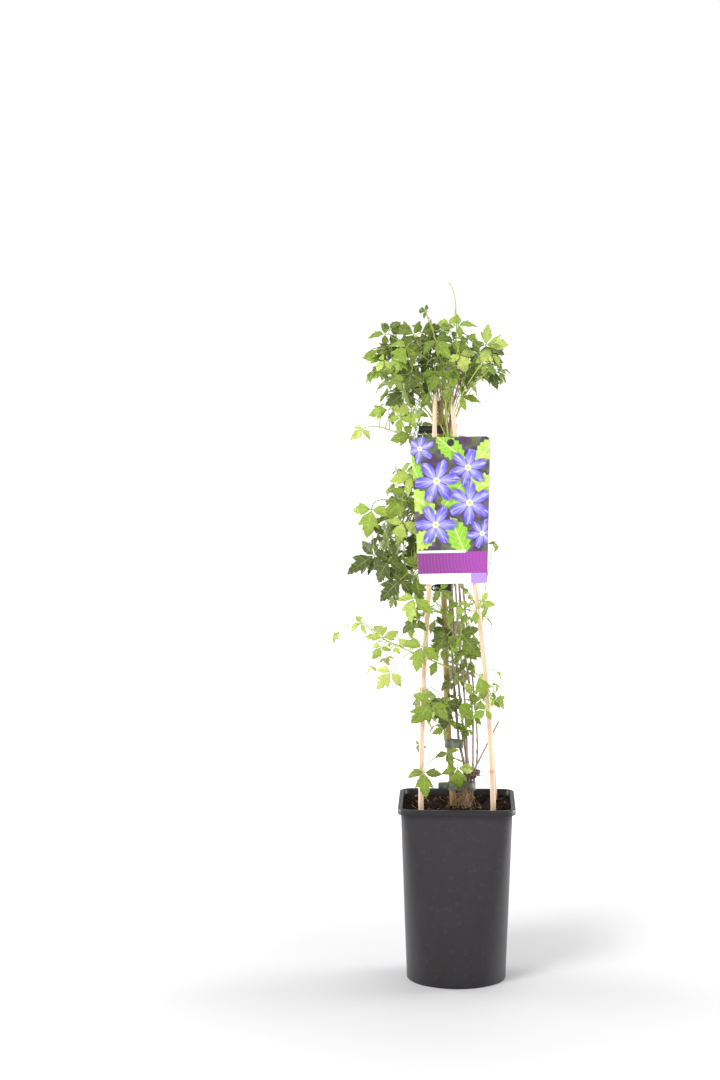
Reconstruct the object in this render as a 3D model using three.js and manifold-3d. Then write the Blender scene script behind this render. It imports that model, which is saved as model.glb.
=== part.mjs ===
// A clematis climbing a teepee of bamboo canes in a tall plastic pot, with its picture card.
// Millimetres, +Z up. The origin is the centre of the pot's flat underside, and -Y is the front.
import * as THREE from "three";
import { mergeVertices } from "three/addons/utils/BufferGeometryUtils.js";
import Module from "manifold-3d";

const wasm = await Module();
wasm.setup();

// ---- Driving dimensions ----
const POT_HEIGHT = 215;
const POT_BASE_RADIUS = 59;
const POT_TOP_HALF = 65.5;
const POT_TOP_CORNER = 13;
const POT_WALL = 1.6;
const FOOT_CHAMFER = 1.5;
const LIP_CHAMFER = 1;
const FLANGE_HALF = 69;
const FLANGE_HEIGHT = 7;
const DRAIN_HOLES = 8;
const DRAIN_RADIUS = 4.5;
const DRAIN_CIRCLE = 43;
const SOIL_TOP = 207;
const SOIL_EDGE_DROP = 2;
const COLLAR_RADIUS = 8;
const COLLAR_DEPTH = 30;
const CLEARANCE = 0.35;
const CANE_RADIUS = 3.2;
const MIDDLE_CANE_RADIUS = 3.8;
const CANE_FOOT = 60;
const CANE_SIDES = 7;
const CANE_NARROWING = 0.14;
const JOINT_SWELL = 0.45;
const JOINT_SPAN = 0.004;
const CARD_TOP_WIDTH = 93;
const CARD_FOOT_WIDTH = 79.5;
const CARD_HEIGHT = 171;
const CARD_THICKNESS = 0.8;
const CARD_TOP_CORNER = 6;
const CARD_FOOT_CORNER = 4;
const BUTTON_RADIUS = 4.1;
const TAPE_THICKNESS = 0.9;
const TAPE_WIDTH = 9.5;
const BLADE_THICKNESS = 0.8;
const SHOOT_RADIUS = 1.2;
const SHOOT_GAP = 0.75;
const SHOOT_NARROWING = 0.3;
const SIDE_LEAFLET_SHARE = 0.76;
const SIDE_LEAFLET_ANGLE = 80;

// ---- Materials ----
const finish = (color, roughness) => new THREE.MeshStandardMaterial({ color, roughness, metalness: 0 });
const MATERIALS = {
  pot: finish(0x3b393b, 0.55),
  soil: finish(0x2a1d15, 0.95),
  paleCane: finish(0xe3bf96, 0.6),
  oliveCane: finish(0xa2813a, 0.55),
  bark: finish(0x6e4e40, 0.8),
  leaf: finish(0x6f9a2c, 0.6),
  card: finish(0xa9b94c, 0.35),
  black: finish(0x17171a, 0.5),
  tape: finish(0x4d574c, 0.6),
};

// ---- Solids ----
const vec = (x, y, z) => new THREE.Vector3(x, y, z);
const radians = THREE.MathUtils.degToRad;

function toSolid(geometry) {
  const bare = geometry.clone();
  bare.deleteAttribute("normal");
  bare.deleteAttribute("uv");
  const merged = mergeVertices(bare, 1e-4);
  return new wasm.Manifold(
    new wasm.Mesh({
      numProp: 3,
      vertProperties: new Float32Array(merged.attributes.position.array),
      triVerts: new Uint32Array(merged.index.array),
    }),
  );
}

function toGeometry(solid) {
  const mesh = solid.getMesh();
  return new THREE.BufferGeometry()
    .setAttribute("position", new THREE.BufferAttribute(new Float32Array(mesh.vertProperties), 3))
    .setIndex(new THREE.BufferAttribute(new Uint32Array(mesh.triVerts), 1))
    .toNonIndexed();
}

const fuse = (solids) => solids.reduce((whole, piece) => whole.add(piece));

// A closed solid through rings of points that run anticlockwise seen from ahead, with a flat cap on
// each end.
function loft(rings) {
  const count = rings[0].length;
  const last = (rings.length - 1) * count;
  const index = [];
  for (let start = 0; start < last; start += count) {
    for (let k = 0; k < count; k += 1) {
      const a = start + k;
      const b = start + ((k + 1) % count);
      index.push(a, b, b + count, a, b + count, a + count);
    }
  }
  for (let k = 1; k < count - 1; k += 1) {
    index.push(0, k + 1, k, last, last + k, last + k + 1);
  }
  return new THREE.BufferGeometry().setFromPoints(rings.flat()).setIndex(index);
}

function routeCurve(route) {
  return new THREE.CatmullRomCurve3(route.map((p) => vec(...p)), false, "catmullrom", 0.5);
}

// A tube along a curve through stations, each [share along the curve, radius].
function tube(curve, stations, sides) {
  const across = vec(0.3, 1, 0.1);
  const rings = stations.map(([share, radius]) => {
    const centre = curve.getPoint(share);
    const ahead = curve.getTangent(share);
    across.addScaledVector(ahead, -across.dot(ahead)).normalize();
    const beside = ahead.clone().cross(across);
    return Array.from({ length: sides }, (_, k) => {
      const angle = (2 * Math.PI * k) / sides;
      return centre
        .clone()
        .addScaledVector(across, radius * Math.cos(angle))
        .addScaledVector(beside, radius * Math.sin(angle));
    });
  });
  return loft(rings);
}

// Even stations for a tube that narrows by a share of its radius.
function taper(radius, narrowing, steps) {
  const stations = Array.from({ length: steps + 1 }, (_, i) => i / steps);
  return stations.map((share) => [share, radius * (1 - narrowing * share)]);
}

function rod(from, to, radius, sides) {
  return toSolid(tube(new THREE.LineCurve3(from, to), taper(radius, 0, 1), sides));
}

// The point of a curve at a height, on a curve that climbs all the way.
function pointAtHeight(curve, height) {
  let low = 0;
  let high = 1;
  for (let k = 0; k < 40; k += 1) {
    const middle = (low + high) / 2;
    if (curve.getPoint(middle).z < height) low = middle;
    else high = middle;
  }
  return curve.getPoint(low);
}

const root = new THREE.Group();
function addPiece(name, geometry, material) {
  const mesh = new THREE.Mesh(geometry, material);
  mesh.name = name;
  root.add(mesh);
  return mesh;
}

// ---- Pot: a square mouth that runs down into a round foot ----
const CORNER_STEPS = 7;
function roundedSquare(half, corner, z) {
  const ring = [];
  for (let quarter = 0; quarter < 4; quarter += 1) {
    const start = (quarter * Math.PI) / 2;
    const sideX = Math.sign(Math.cos(start + Math.PI / 4));
    const sideY = Math.sign(Math.sin(start + Math.PI / 4));
    for (let k = 0; k < CORNER_STEPS; k += 1) {
      const angle = start + (Math.PI / 2) * (k / (CORNER_STEPS - 1) - 1e-3);
      ring.push(
        vec(
          sideX * (half - corner) + corner * Math.cos(angle),
          sideY * (half - corner) + corner * Math.sin(angle),
          z,
        ),
      );
    }
  }
  return ring;
}

// The wall's section at a height, taken in by an inset.
function potSection(z, inset) {
  const share = z / POT_HEIGHT;
  const half = THREE.MathUtils.lerp(POT_BASE_RADIUS, POT_TOP_HALF, share) - inset;
  const corner = THREE.MathUtils.lerp(POT_BASE_RADIUS - 0.5, POT_TOP_CORNER, share) - inset;
  return roundedSquare(half, corner, z);
}

function makePot() {
  const underFlange = POT_HEIGHT - FLANGE_HEIGHT;
  const flangeCorner = POT_TOP_CORNER + FLANGE_HALF - POT_TOP_HALF;
  const shell = loft([
    potSection(0, FOOT_CHAMFER),
    potSection(FOOT_CHAMFER, 0),
    potSection(underFlange, 0),
    roundedSquare(FLANGE_HALF, flangeCorner, underFlange),
    roundedSquare(FLANGE_HALF, flangeCorner, POT_HEIGHT - LIP_CHAMFER),
    roundedSquare(FLANGE_HALF - LIP_CHAMFER, flangeCorner - LIP_CHAMFER, POT_HEIGHT),
    potSection(POT_HEIGHT, POT_WALL - LIP_CHAMFER),
    potSection(POT_HEIGHT - 2 * LIP_CHAMFER, POT_WALL),
    potSection(POT_WALL, POT_WALL),
  ]);
  let pot = toSolid(shell);
  for (let k = 0; k < DRAIN_HOLES; k += 1) {
    const angle = (2 * Math.PI * (k + 0.5)) / DRAIN_HOLES;
    const centre = vec(DRAIN_CIRCLE * Math.cos(angle), DRAIN_CIRCLE * Math.sin(angle), -1);
    pot = pot.subtract(rod(centre, centre.clone().setZ(POT_WALL + 1), DRAIN_RADIUS, 8));
  }
  addPiece("pot", toGeometry(pot), MATERIALS.pot);
}

// ---- Canes: three pale ones that lean together and an olive one up the middle ----
const CANES = [
  {
    name: "cane_front_left",
    radius: CANE_RADIUS,
    material: MATERIALS.paleCane,
    joints: [0.36, 0.66],
    route: [
      [-42, -42, CANE_FOOT], [-42, -42, 200], [-41, -38, 300], [-37.5, -33, 400],
      [-32, -27, 500], [-29, -21, 600], [-27.5, -17.5, 650], [-27, -15.5, 697],
    ],
  },
  {
    name: "cane_front_right",
    radius: CANE_RADIUS,
    material: MATERIALS.paleCane,
    joints: [0.22, 0.5],
    route: [
      [43, -42, CANE_FOOT], [43, -42, 200], [38.5, -38, 300], [30, -33, 400],
      [17, -27, 500], [3, -20.5, 600], [-3.5, -17.5, 650], [-8, -15.5, 694],
    ],
  },
  {
    name: "cane_back_right",
    radius: CANE_RADIUS - 0.3,
    material: MATERIALS.paleCane,
    joints: [0.3, 0.6],
    route: [
      [46, 38, CANE_FOOT], [46, 38, 200], [40, 35, 300], [31, 30, 400],
      [18, 24, 500], [3, 16, 600], [-5, 12, 650], [-10, 9, 688],
    ],
  },
  {
    name: "cane_middle",
    radius: MIDDLE_CANE_RADIUS,
    material: MATERIALS.oliveCane,
    joints: [0.26, 0.45],
    route: [
      [-4, -2, CANE_FOOT], [-4, -2, 200], [-10.5, -2, 300], [-14, -2, 400],
      [-17, -2, 500], [-19, -3, 600], [-20, -4, 650], [-20.5, -4, 688],
    ],
  },
];

// Stations at every point of the route, with three more at each joint for its swelling.
function caneStations({ radius, joints, route }) {
  const plain = route.map((_, i) => [i / (route.length - 1), 0]);
  const swollen = joints.flatMap((at) => [
    [at - JOINT_SPAN, 0],
    [at, JOINT_SWELL],
    [at + JOINT_SPAN, 0],
  ]);
  return [...plain, ...swollen]
    .sort((a, b) => a[0] - b[0])
    .map(([share, swell]) => [share, radius * (1 - CANE_NARROWING * share) + swell]);
}

function makeCanes() {
  for (const cane of CANES) {
    addPiece(cane.name, tube(routeCurve(cane.route), caneStations(cane), CANE_SIDES), cane.material);
  }
}

// ---- Woody stems: old stems that rise from a root collar, with the crown's knots and a pruned stub ----
const COLLAR = [10, -1];
const COLLAR_FOOT = SOIL_TOP - COLLAR_DEPTH;
const WOODY_STEMS = [
  {
    radius: 1.7,
    route: [
      [9, -3, 190], [9, -5, 250], [3, -6, 283], [0, -8, 310], [-3, -8.5, 345], [-5.5, -9, 385],
      [-7.5, -9, 420], [-9, -9, 460], [-11, -9.5, 520], [-12, -10, 580], [-13, -10, 645],
    ],
  },
  {
    radius: 1.5,
    route: [
      [12, 1, 190], [12.5, 1, 240], [9, 2, 283], [5, 2, 320], [1, 3, 360], [-3, 5, 400],
      [-6, 6, 450], [-9, 6, 520], [-12, 6, 600], [-13, 5, 655],
    ],
  },
  {
    radius: 1.3,
    route: [
      [19, -2, 246], [19, -2, 275], [19, -2, 300], [17, -1, 330], [12, 0, 370], [7, 2, 410],
      [3, 1, 460], [-1, 0, 530], [-4, -1, 600], [-5, -2, 655],
    ],
  },
  {
    radius: 1.3,
    route: [
      [16, -5, 246], [12.5, -7, 268], [11.5, -8, 290], [10, -8, 320], [7, -9, 360], [3, -10, 400],
      [-1, -12, 450], [-5, -13.5, 520], [-9, -14, 600], [-12, -14, 648],
    ],
  },
  {
    radius: 1.2,
    route: [
      [22, 1, 246], [24, 2, 268], [24, 3, 292], [21, 5, 330], [16, 8, 380], [10, 11, 430],
      [4, 12, 500], [-3, 10, 580], [-9, 8, 645],
    ],
  },
];
const BASAL_STRANDS = [
  [[4, -4], [15, -4]],
  [[8, 3], [18, 0]],
  [[15, 1], [21, -1]],
];
const STRAND_RADIUS = 1.3;
const CROWN_HEIGHT = 246;
const CROWN_KNOTS = [
  { centre: [19, -2, CROWN_HEIGHT], size: [5, 4.5, 5.5], detail: 1 },
  { centre: [25, -2, CROWN_HEIGHT + 3], size: [3, 2.8, 3.2], detail: 0 },
];
const STUB = { foot: [20, -3, CROWN_HEIGHT + 4], head: [49, -13, 311], radius: 1.1 };
const STEM_NARROWING = 0.25;

function lump({ centre, size, detail }) {
  const ball = new THREE.IcosahedronGeometry(1, detail);
  ball.scale(...size);
  ball.translate(...centre);
  return toSolid(ball);
}

function makeWoodyStems() {
  const parts = WOODY_STEMS.map(({ radius, route }) =>
    toSolid(tube(routeCurve(route), taper(radius, STEM_NARROWING, route.length - 1), 5)),
  );
  const collarTop = vec(...COLLAR, SOIL_TOP + 2);
  parts.push(rod(vec(...COLLAR, COLLAR_FOOT), collarTop, COLLAR_RADIUS, 8));
  for (const [foot, head] of BASAL_STRANDS) {
    parts.push(rod(vec(...foot, SOIL_TOP - 4), vec(...head, CROWN_HEIGHT - 2), STRAND_RADIUS, 4));
  }
  parts.push(...CROWN_KNOTS.map(lump));
  parts.push(rod(vec(...STUB.foot), vec(...STUB.head), STUB.radius, 4));
  addPiece("woody_stems", toGeometry(fuse(parts)), MATERIALS.bark);
}

// ---- Soil: fills the pot to under its rim, with a plain hole for each cane and for the root collar ----
const MOUND_RISE = 1.4;
const RIPPLE_RISE = 0.9;
const SURFACE_RINGS = [0.97, 0.75, 0.5, 0.25];
const HOLE_HEADROOM = 12;

function soilHeight(x, y) {
  const mound = MOUND_RISE * Math.sin(x / 9 + 1) * Math.cos(y / 11);
  const ripple = RIPPLE_RISE * Math.sin((x + 2 * y) / 7);
  return SOIL_TOP + mound + ripple;
}

function makeSoil() {
  const foot = POT_WALL + CLEARANCE;
  const rim = SOIL_TOP - SOIL_EDGE_DROP;
  const inset = POT_WALL + CLEARANCE;
  const surface = SURFACE_RINGS.map((share) =>
    potSection(rim, inset).map((p) => {
      const x = p.x * share;
      const y = p.y * share;
      return vec(x, y, soilHeight(x, y));
    }),
  );
  let soil = toSolid(loft([potSection(foot, inset), potSection(rim, inset), ...surface]));
  for (const cane of CANES) {
    const [foot, mouth] = [cane.route[0], cane.route[1]].map((p) => vec(...p));
    foot.z -= CLEARANCE;
    mouth.z += HOLE_HEADROOM;
    soil = soil.subtract(rod(foot, mouth, cane.radius + 2 * CLEARANCE, CANE_SIDES + 1));
  }
  const hole = rod(
    vec(...COLLAR, COLLAR_FOOT - CLEARANCE),
    vec(...COLLAR, SOIL_TOP + HOLE_HEADROOM),
    COLLAR_RADIUS + CLEARANCE,
    8,
  );
  addPiece("soil", toGeometry(soil.subtract(hole)), MATERIALS.soil);
}

// ---- Ties: bands round the canes and stems, each with a loose tail ----
const HULL_SIDES = 8;

// The outline of the smallest convex shape round circles grown by an amount, by the monotone chain rule.
function hullRound(circles, grow) {
  const points = circles.flatMap(([x, y, r]) =>
    Array.from({ length: HULL_SIDES }, (_, k) => {
      const angle = (2 * Math.PI * k) / HULL_SIDES;
      const reach = (r + grow) / Math.cos(Math.PI / HULL_SIDES);
      return new THREE.Vector2(x + reach * Math.cos(angle), y + reach * Math.sin(angle));
    }),
  );
  points.sort((a, b) => a.x - b.x || a.y - b.y);
  const chain = (list) => {
    const hull = [];
    for (const p of list) {
      while (hull.length > 1) {
        const [a, b] = hull.slice(-2);
        if ((b.x - a.x) * (p.y - a.y) - (b.y - a.y) * (p.x - a.x) > 1e-6) break;
        hull.pop();
      }
      hull.push(p);
    }
    return hull.slice(0, -1);
  };
  return [...chain(points), ...chain([...points].reverse())];
}

const TIES = [
  {
    name: "tie_low",
    material: MATERIALS.tape,
    foot: 227,
    canes: [3],
    stems: [0, 1],
    more: [[15.5, -1.8, 6.2]],
    tail: [-22, -4.5, -10.5, -2.5],
  },
  {
    name: "tie_middle",
    material: MATERIALS.tape,
    foot: 278,
    canes: [3],
    stems: [0],
    tail: [7, -13, 5, -8],
  },
  {
    name: "tie_upper",
    material: MATERIALS.black,
    foot: 464,
    canes: [3],
    stems: [0],
    tail: [-27, -10, -20.5, -4],
  },
  {
    name: "tie_top",
    material: MATERIALS.black,
    foot: 650.5,
    canes: [2, 3],
    stems: [],
    tail: [-46, -8, -25.4, -4.5],
  },
];

// The circles that a tie goes round, at its foot and at its head.
function tiedCircles({ foot, canes, stems, more = [] }) {
  const members = [...canes.map((k) => CANES[k]), ...stems.map((k) => WOODY_STEMS[k])];
  const around = members.flatMap(({ route, radius }) =>
    [foot, foot + TAPE_WIDTH].map((height) => {
      const centre = pointAtHeight(routeCurve(route), height);
      return [centre.x, centre.y, radius + CLEARANCE];
    }),
  );
  return [...around, ...more];
}

function makeTies() {
  for (const tie of TIES) {
    const circles = tiedCircles(tie);
    const band = new THREE.Shape(hullRound(circles, TAPE_THICKNESS));
    band.holes.push(new THREE.Path(hullRound(circles, 0)));
    const ring = new THREE.ExtrudeGeometry(band, { depth: TAPE_WIDTH, bevelEnabled: false });
    ring.translate(0, 0, tie.foot);
    const [x0, y0, x1, y1] = tie.tail;
    const tail = new THREE.BoxGeometry(Math.hypot(x1 - x0, y1 - y0), TAPE_THICKNESS, TAPE_WIDTH - 1);
    tail.rotateZ(Math.atan2(y1 - y0, x1 - x0));
    tail.translate((x0 + x1) / 2, (y0 + y1) / 2, tie.foot + TAPE_WIDTH / 2);
    addPiece(tie.name, toGeometry(toSolid(ring).add(toSolid(tail))), tie.material);
  }
}

// ---- Picture card: a tapered plastic card pinned at its top by a push button ----
const CARD_CENTRE_X = -9;
const CARD_TOP_Z = 647.5;
const CARD_BACK_Y = -22.1;
const CARD_TILT = 1.3;
const CARD_LEAN = 3.8;
const BUTTON_DROP = 6.5;
const BUTTON_HOLE = 2.3;

function cardOutline() {
  const top = CARD_TOP_WIDTH / 2;
  const foot = CARD_FOOT_WIDTH / 2;
  const shape = new THREE.Shape();
  shape.moveTo(-foot + CARD_FOOT_CORNER, -CARD_HEIGHT);
  shape.lineTo(foot - CARD_FOOT_CORNER, -CARD_HEIGHT);
  shape.quadraticCurveTo(foot, -CARD_HEIGHT, foot, -CARD_HEIGHT + CARD_FOOT_CORNER);
  shape.lineTo(top, -CARD_TOP_CORNER);
  shape.quadraticCurveTo(top, 0, top - CARD_TOP_CORNER, 0);
  shape.lineTo(-top + CARD_TOP_CORNER, 0);
  shape.quadraticCurveTo(-top, 0, -top, -CARD_TOP_CORNER);
  shape.lineTo(-foot, -CARD_HEIGHT + CARD_FOOT_CORNER);
  shape.quadraticCurveTo(-foot, -CARD_HEIGHT, -foot + CARD_FOOT_CORNER, -CARD_HEIGHT);
  const hole = new THREE.Path();
  hole.absarc(0, -BUTTON_DROP, BUTTON_HOLE, 0, 2 * Math.PI, true);
  shape.holes.push(hole);
  return shape;
}

function makeCard() {
  const settings = { depth: CARD_THICKNESS, bevelEnabled: false, curveSegments: 4 };
  const plate = new THREE.ExtrudeGeometry(cardOutline(), settings);
  plate.rotateX(Math.PI / 2);
  const card = addPiece("picture_card", plate, MATERIALS.card);
  const backOfFlange = CARD_THICKNESS + 2 * CLEARANCE;
  const head = [
    [0, -1.8], [BUTTON_RADIUS * 0.75, -1.5], [BUTTON_RADIUS, 0],
    [BUTTON_HOLE - CLEARANCE, 0], [BUTTON_HOLE - CLEARANCE, backOfFlange],
    [BUTTON_RADIUS - 0.6, backOfFlange], [BUTTON_RADIUS - 0.6, backOfFlange + 0.7],
    [0, backOfFlange + 0.7],
  ];
  const profile = head.map(([radius, along]) => new THREE.Vector2(radius, along));
  const button = addPiece("card_button", new THREE.LatheGeometry(profile, 12), MATERIALS.black);
  button.position.set(0, -CARD_THICKNESS - CLEARANCE, -BUTTON_DROP);
  const held = new THREE.Group();
  held.add(card, button);
  held.position.set(CARD_CENTRE_X, CARD_BACK_Y, CARD_TOP_Z);
  held.rotation.set(radians(-CARD_LEAN), radians(-CARD_TILT), 0);
  root.add(held);
}

// ---- Leaves ----
// Half outlines of a leaflet from its stalk towards its tip: [share of the length, half width over the length].
const LOBED_SIDE = [[0.09, 0.03], [0.5, 0.36], [0.55, 0.2], [0.76, 0.19]];
const TOOTHED_SIDE = [[0.09, 0.03], [0.48, 0.3], [0.6, 0.19]];
const PLAIN_SIDE = [[0.09, 0.03], [0.45, 0.21]];
const LOBED_FROM = 23;
const FACING_SPREAD = [-12, 12];
const UPWARD_LOOK = [0.15, 0.65];
const SIDE_ANGLE_SPREAD = [-8, 8];
const SIDE_LENGTH_RANGE = [0.85, 1.15];
const BLADE_DROOP = 0.2;
const BLADE_FOLD = 0.22;
const STALK_HALF_WIDTH = 0.8;
const STALK_TAIL = 2.4;
const STALK_RISE_AT = 0.4;
const STALK_ARCH = 0.25;
const STALK_ARRIVAL = 0.35;
const STALK_STEPS = 2;

// A fixed share from 0 to 1 that differs from seed to seed.
function variation(seed) {
  return (Math.imul(seed + 1, 2654435761) >>> 0) / 2 ** 32;
}

const between = (low, high, seed) => THREE.MathUtils.lerp(low, high, variation(seed));

// The directions of a leaf. Its axis lies at its heading in the upright plane that it faces, and its
// upper face looks outwards and a little upwards.
function leafFrame(heading, facing, seed) {
  const turn = radians(facing + between(...FACING_SPREAD, seed));
  const normal = vec(Math.sin(turn), -Math.cos(turn), between(...UPWARD_LOOK, seed + 7)).normalize();
  const axis = vec(Math.cos(turn), Math.sin(turn), 0).multiplyScalar(Math.cos(radians(heading)));
  axis.z = Math.sin(radians(heading));
  axis.addScaledVector(normal, -axis.dot(normal)).normalize();
  return { side: axis.clone().cross(normal), axis, normal };
}

// The leaflets of a leaf, from the right-hand one to the left-hand one.
function leaflets(length, count, seed) {
  const sides = length > LOBED_FROM ? LOBED_SIDE : TOOTHED_SIDE;
  const end = { angle: 0, length, right: sides, left: sides };
  if (count === 1) return [end];
  const [right, left] = [1, -1].map((sign) => ({
    angle: sign * radians(SIDE_LEAFLET_ANGLE + between(...SIDE_ANGLE_SPREAD, seed + 3 * sign + 20)),
    length: length * SIDE_LEAFLET_SHARE * between(...SIDE_LENGTH_RANGE, seed + sign + 40),
    right: sign > 0 ? TOOTHED_SIDE : PLAIN_SIDE,
    left: sign > 0 ? PLAIN_SIDE : TOOTHED_SIDE,
  }));
  return [right, end, left];
}

// The outline of a leaf's blade round its leaflets in turn, with each point's lift off the flat: a
// leaflet is folded up along its rib and arched down towards its tip.
function bladeOutline(parts) {
  const contour = [];
  const lift = [];
  for (const { angle, length, right, left } of parts) {
    const along = new THREE.Vector2(Math.sin(angle), Math.cos(angle));
    const across = new THREE.Vector2(Math.cos(angle), -Math.sin(angle));
    const around = [...right, [1, 0], ...left.map(([u, v]) => [u, -v]).reverse()];
    for (const [u, v] of around) {
      const point = new THREE.Vector2().addScaledVector(along, u * length);
      contour.push(point.addScaledVector(across, v * length));
      lift.push(length * (BLADE_FOLD * Math.abs(v) - BLADE_DROOP * u * u));
    }
  }
  contour.push(new THREE.Vector2(-STALK_HALF_WIDTH, -STALK_TAIL));
  contour.push(new THREE.Vector2(STALK_HALF_WIDTH, -STALK_TAIL));
  lift.push(0, 0);
  return { contour, lift };
}

// A leaf as one closed body: a thin blade, both faces triangulated alike, whose stalk runs on from the
// blade's foot. The stalk rises from the shoot, arches over and meets the blade along its axis.
function leafSolid(stalkFoot, leaf, seed) {
  const [, x, y, z, heading, length, facing, count] = leaf;
  const fork = vec(x, y, z);
  const { side, axis, normal } = leafFrame(heading, facing, seed);
  const { contour, lift } = bladeOutline(leaflets(length, count, seed));
  const rim = contour.length;
  const skin = (offset) =>
    contour.map((p, i) =>
      fork
        .clone()
        .addScaledVector(side, p.x)
        .addScaledVector(axis, p.y)
        .addScaledVector(normal, lift[i] + offset),
    );
  const points = [...skin(BLADE_THICKNESS / 2), ...skin(-BLADE_THICKNESS / 2)];
  const index = [];
  for (const [a, b, c] of THREE.ShapeUtils.triangulateShape(contour, [])) {
    index.push(a, b, c, c + rim, b + rim, a + rim);
  }
  for (let k = 0; k < rim; k += 1) {
    const next = (k + 1) % rim;
    if (k !== rim - 2) index.push(k + rim, next + rim, next, k + rim, next, k);
  }
  const tail = fork.clone().addScaledVector(axis, -STALK_TAIL);
  const reach = stalkFoot.distanceTo(tail);
  const rising = stalkFoot.clone().lerp(tail, STALK_RISE_AT).add(vec(0, 0, STALK_ARCH * reach));
  const arriving = tail.clone().addScaledVector(axis, -STALK_ARRIVAL * reach);
  const stalk = new THREE.CubicBezierCurve3(stalkFoot, rising, arriving, tail);
  let ring = [2 * rim - 2, 2 * rim - 1, rim - 1, rim - 2];
  let across = side;
  for (let i = STALK_STEPS - 1; i >= 0; i -= 1) {
    const ahead = stalk.getTangent(i / STALK_STEPS);
    across = across.clone().addScaledVector(ahead, -across.dot(ahead)).normalize();
    const over = across.clone().cross(ahead);
    const centre = stalk.getPoint(i / STALK_STEPS);
    const corners = [[-1, -1], [1, -1], [1, 1], [-1, 1]];
    const before = corners.map((_, k) => points.length + k);
    for (const [u, v] of corners) {
      const corner = centre.clone().addScaledVector(across, u * STALK_HALF_WIDTH);
      points.push(corner.addScaledVector(over, (v * BLADE_THICKNESS) / 2));
    }
    for (let k = 0; k < 4; k += 1) {
      const next = (k + 1) % 4;
      index.push(ring[k], ring[next], before[next], ring[k], before[next], before[k]);
    }
    ring = before;
  }
  index.push(ring[0], ring[1], ring[2], ring[0], ring[2], ring[3]);
  return toSolid(new THREE.BufferGeometry().setFromPoints(points).setIndex(index));
}

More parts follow.
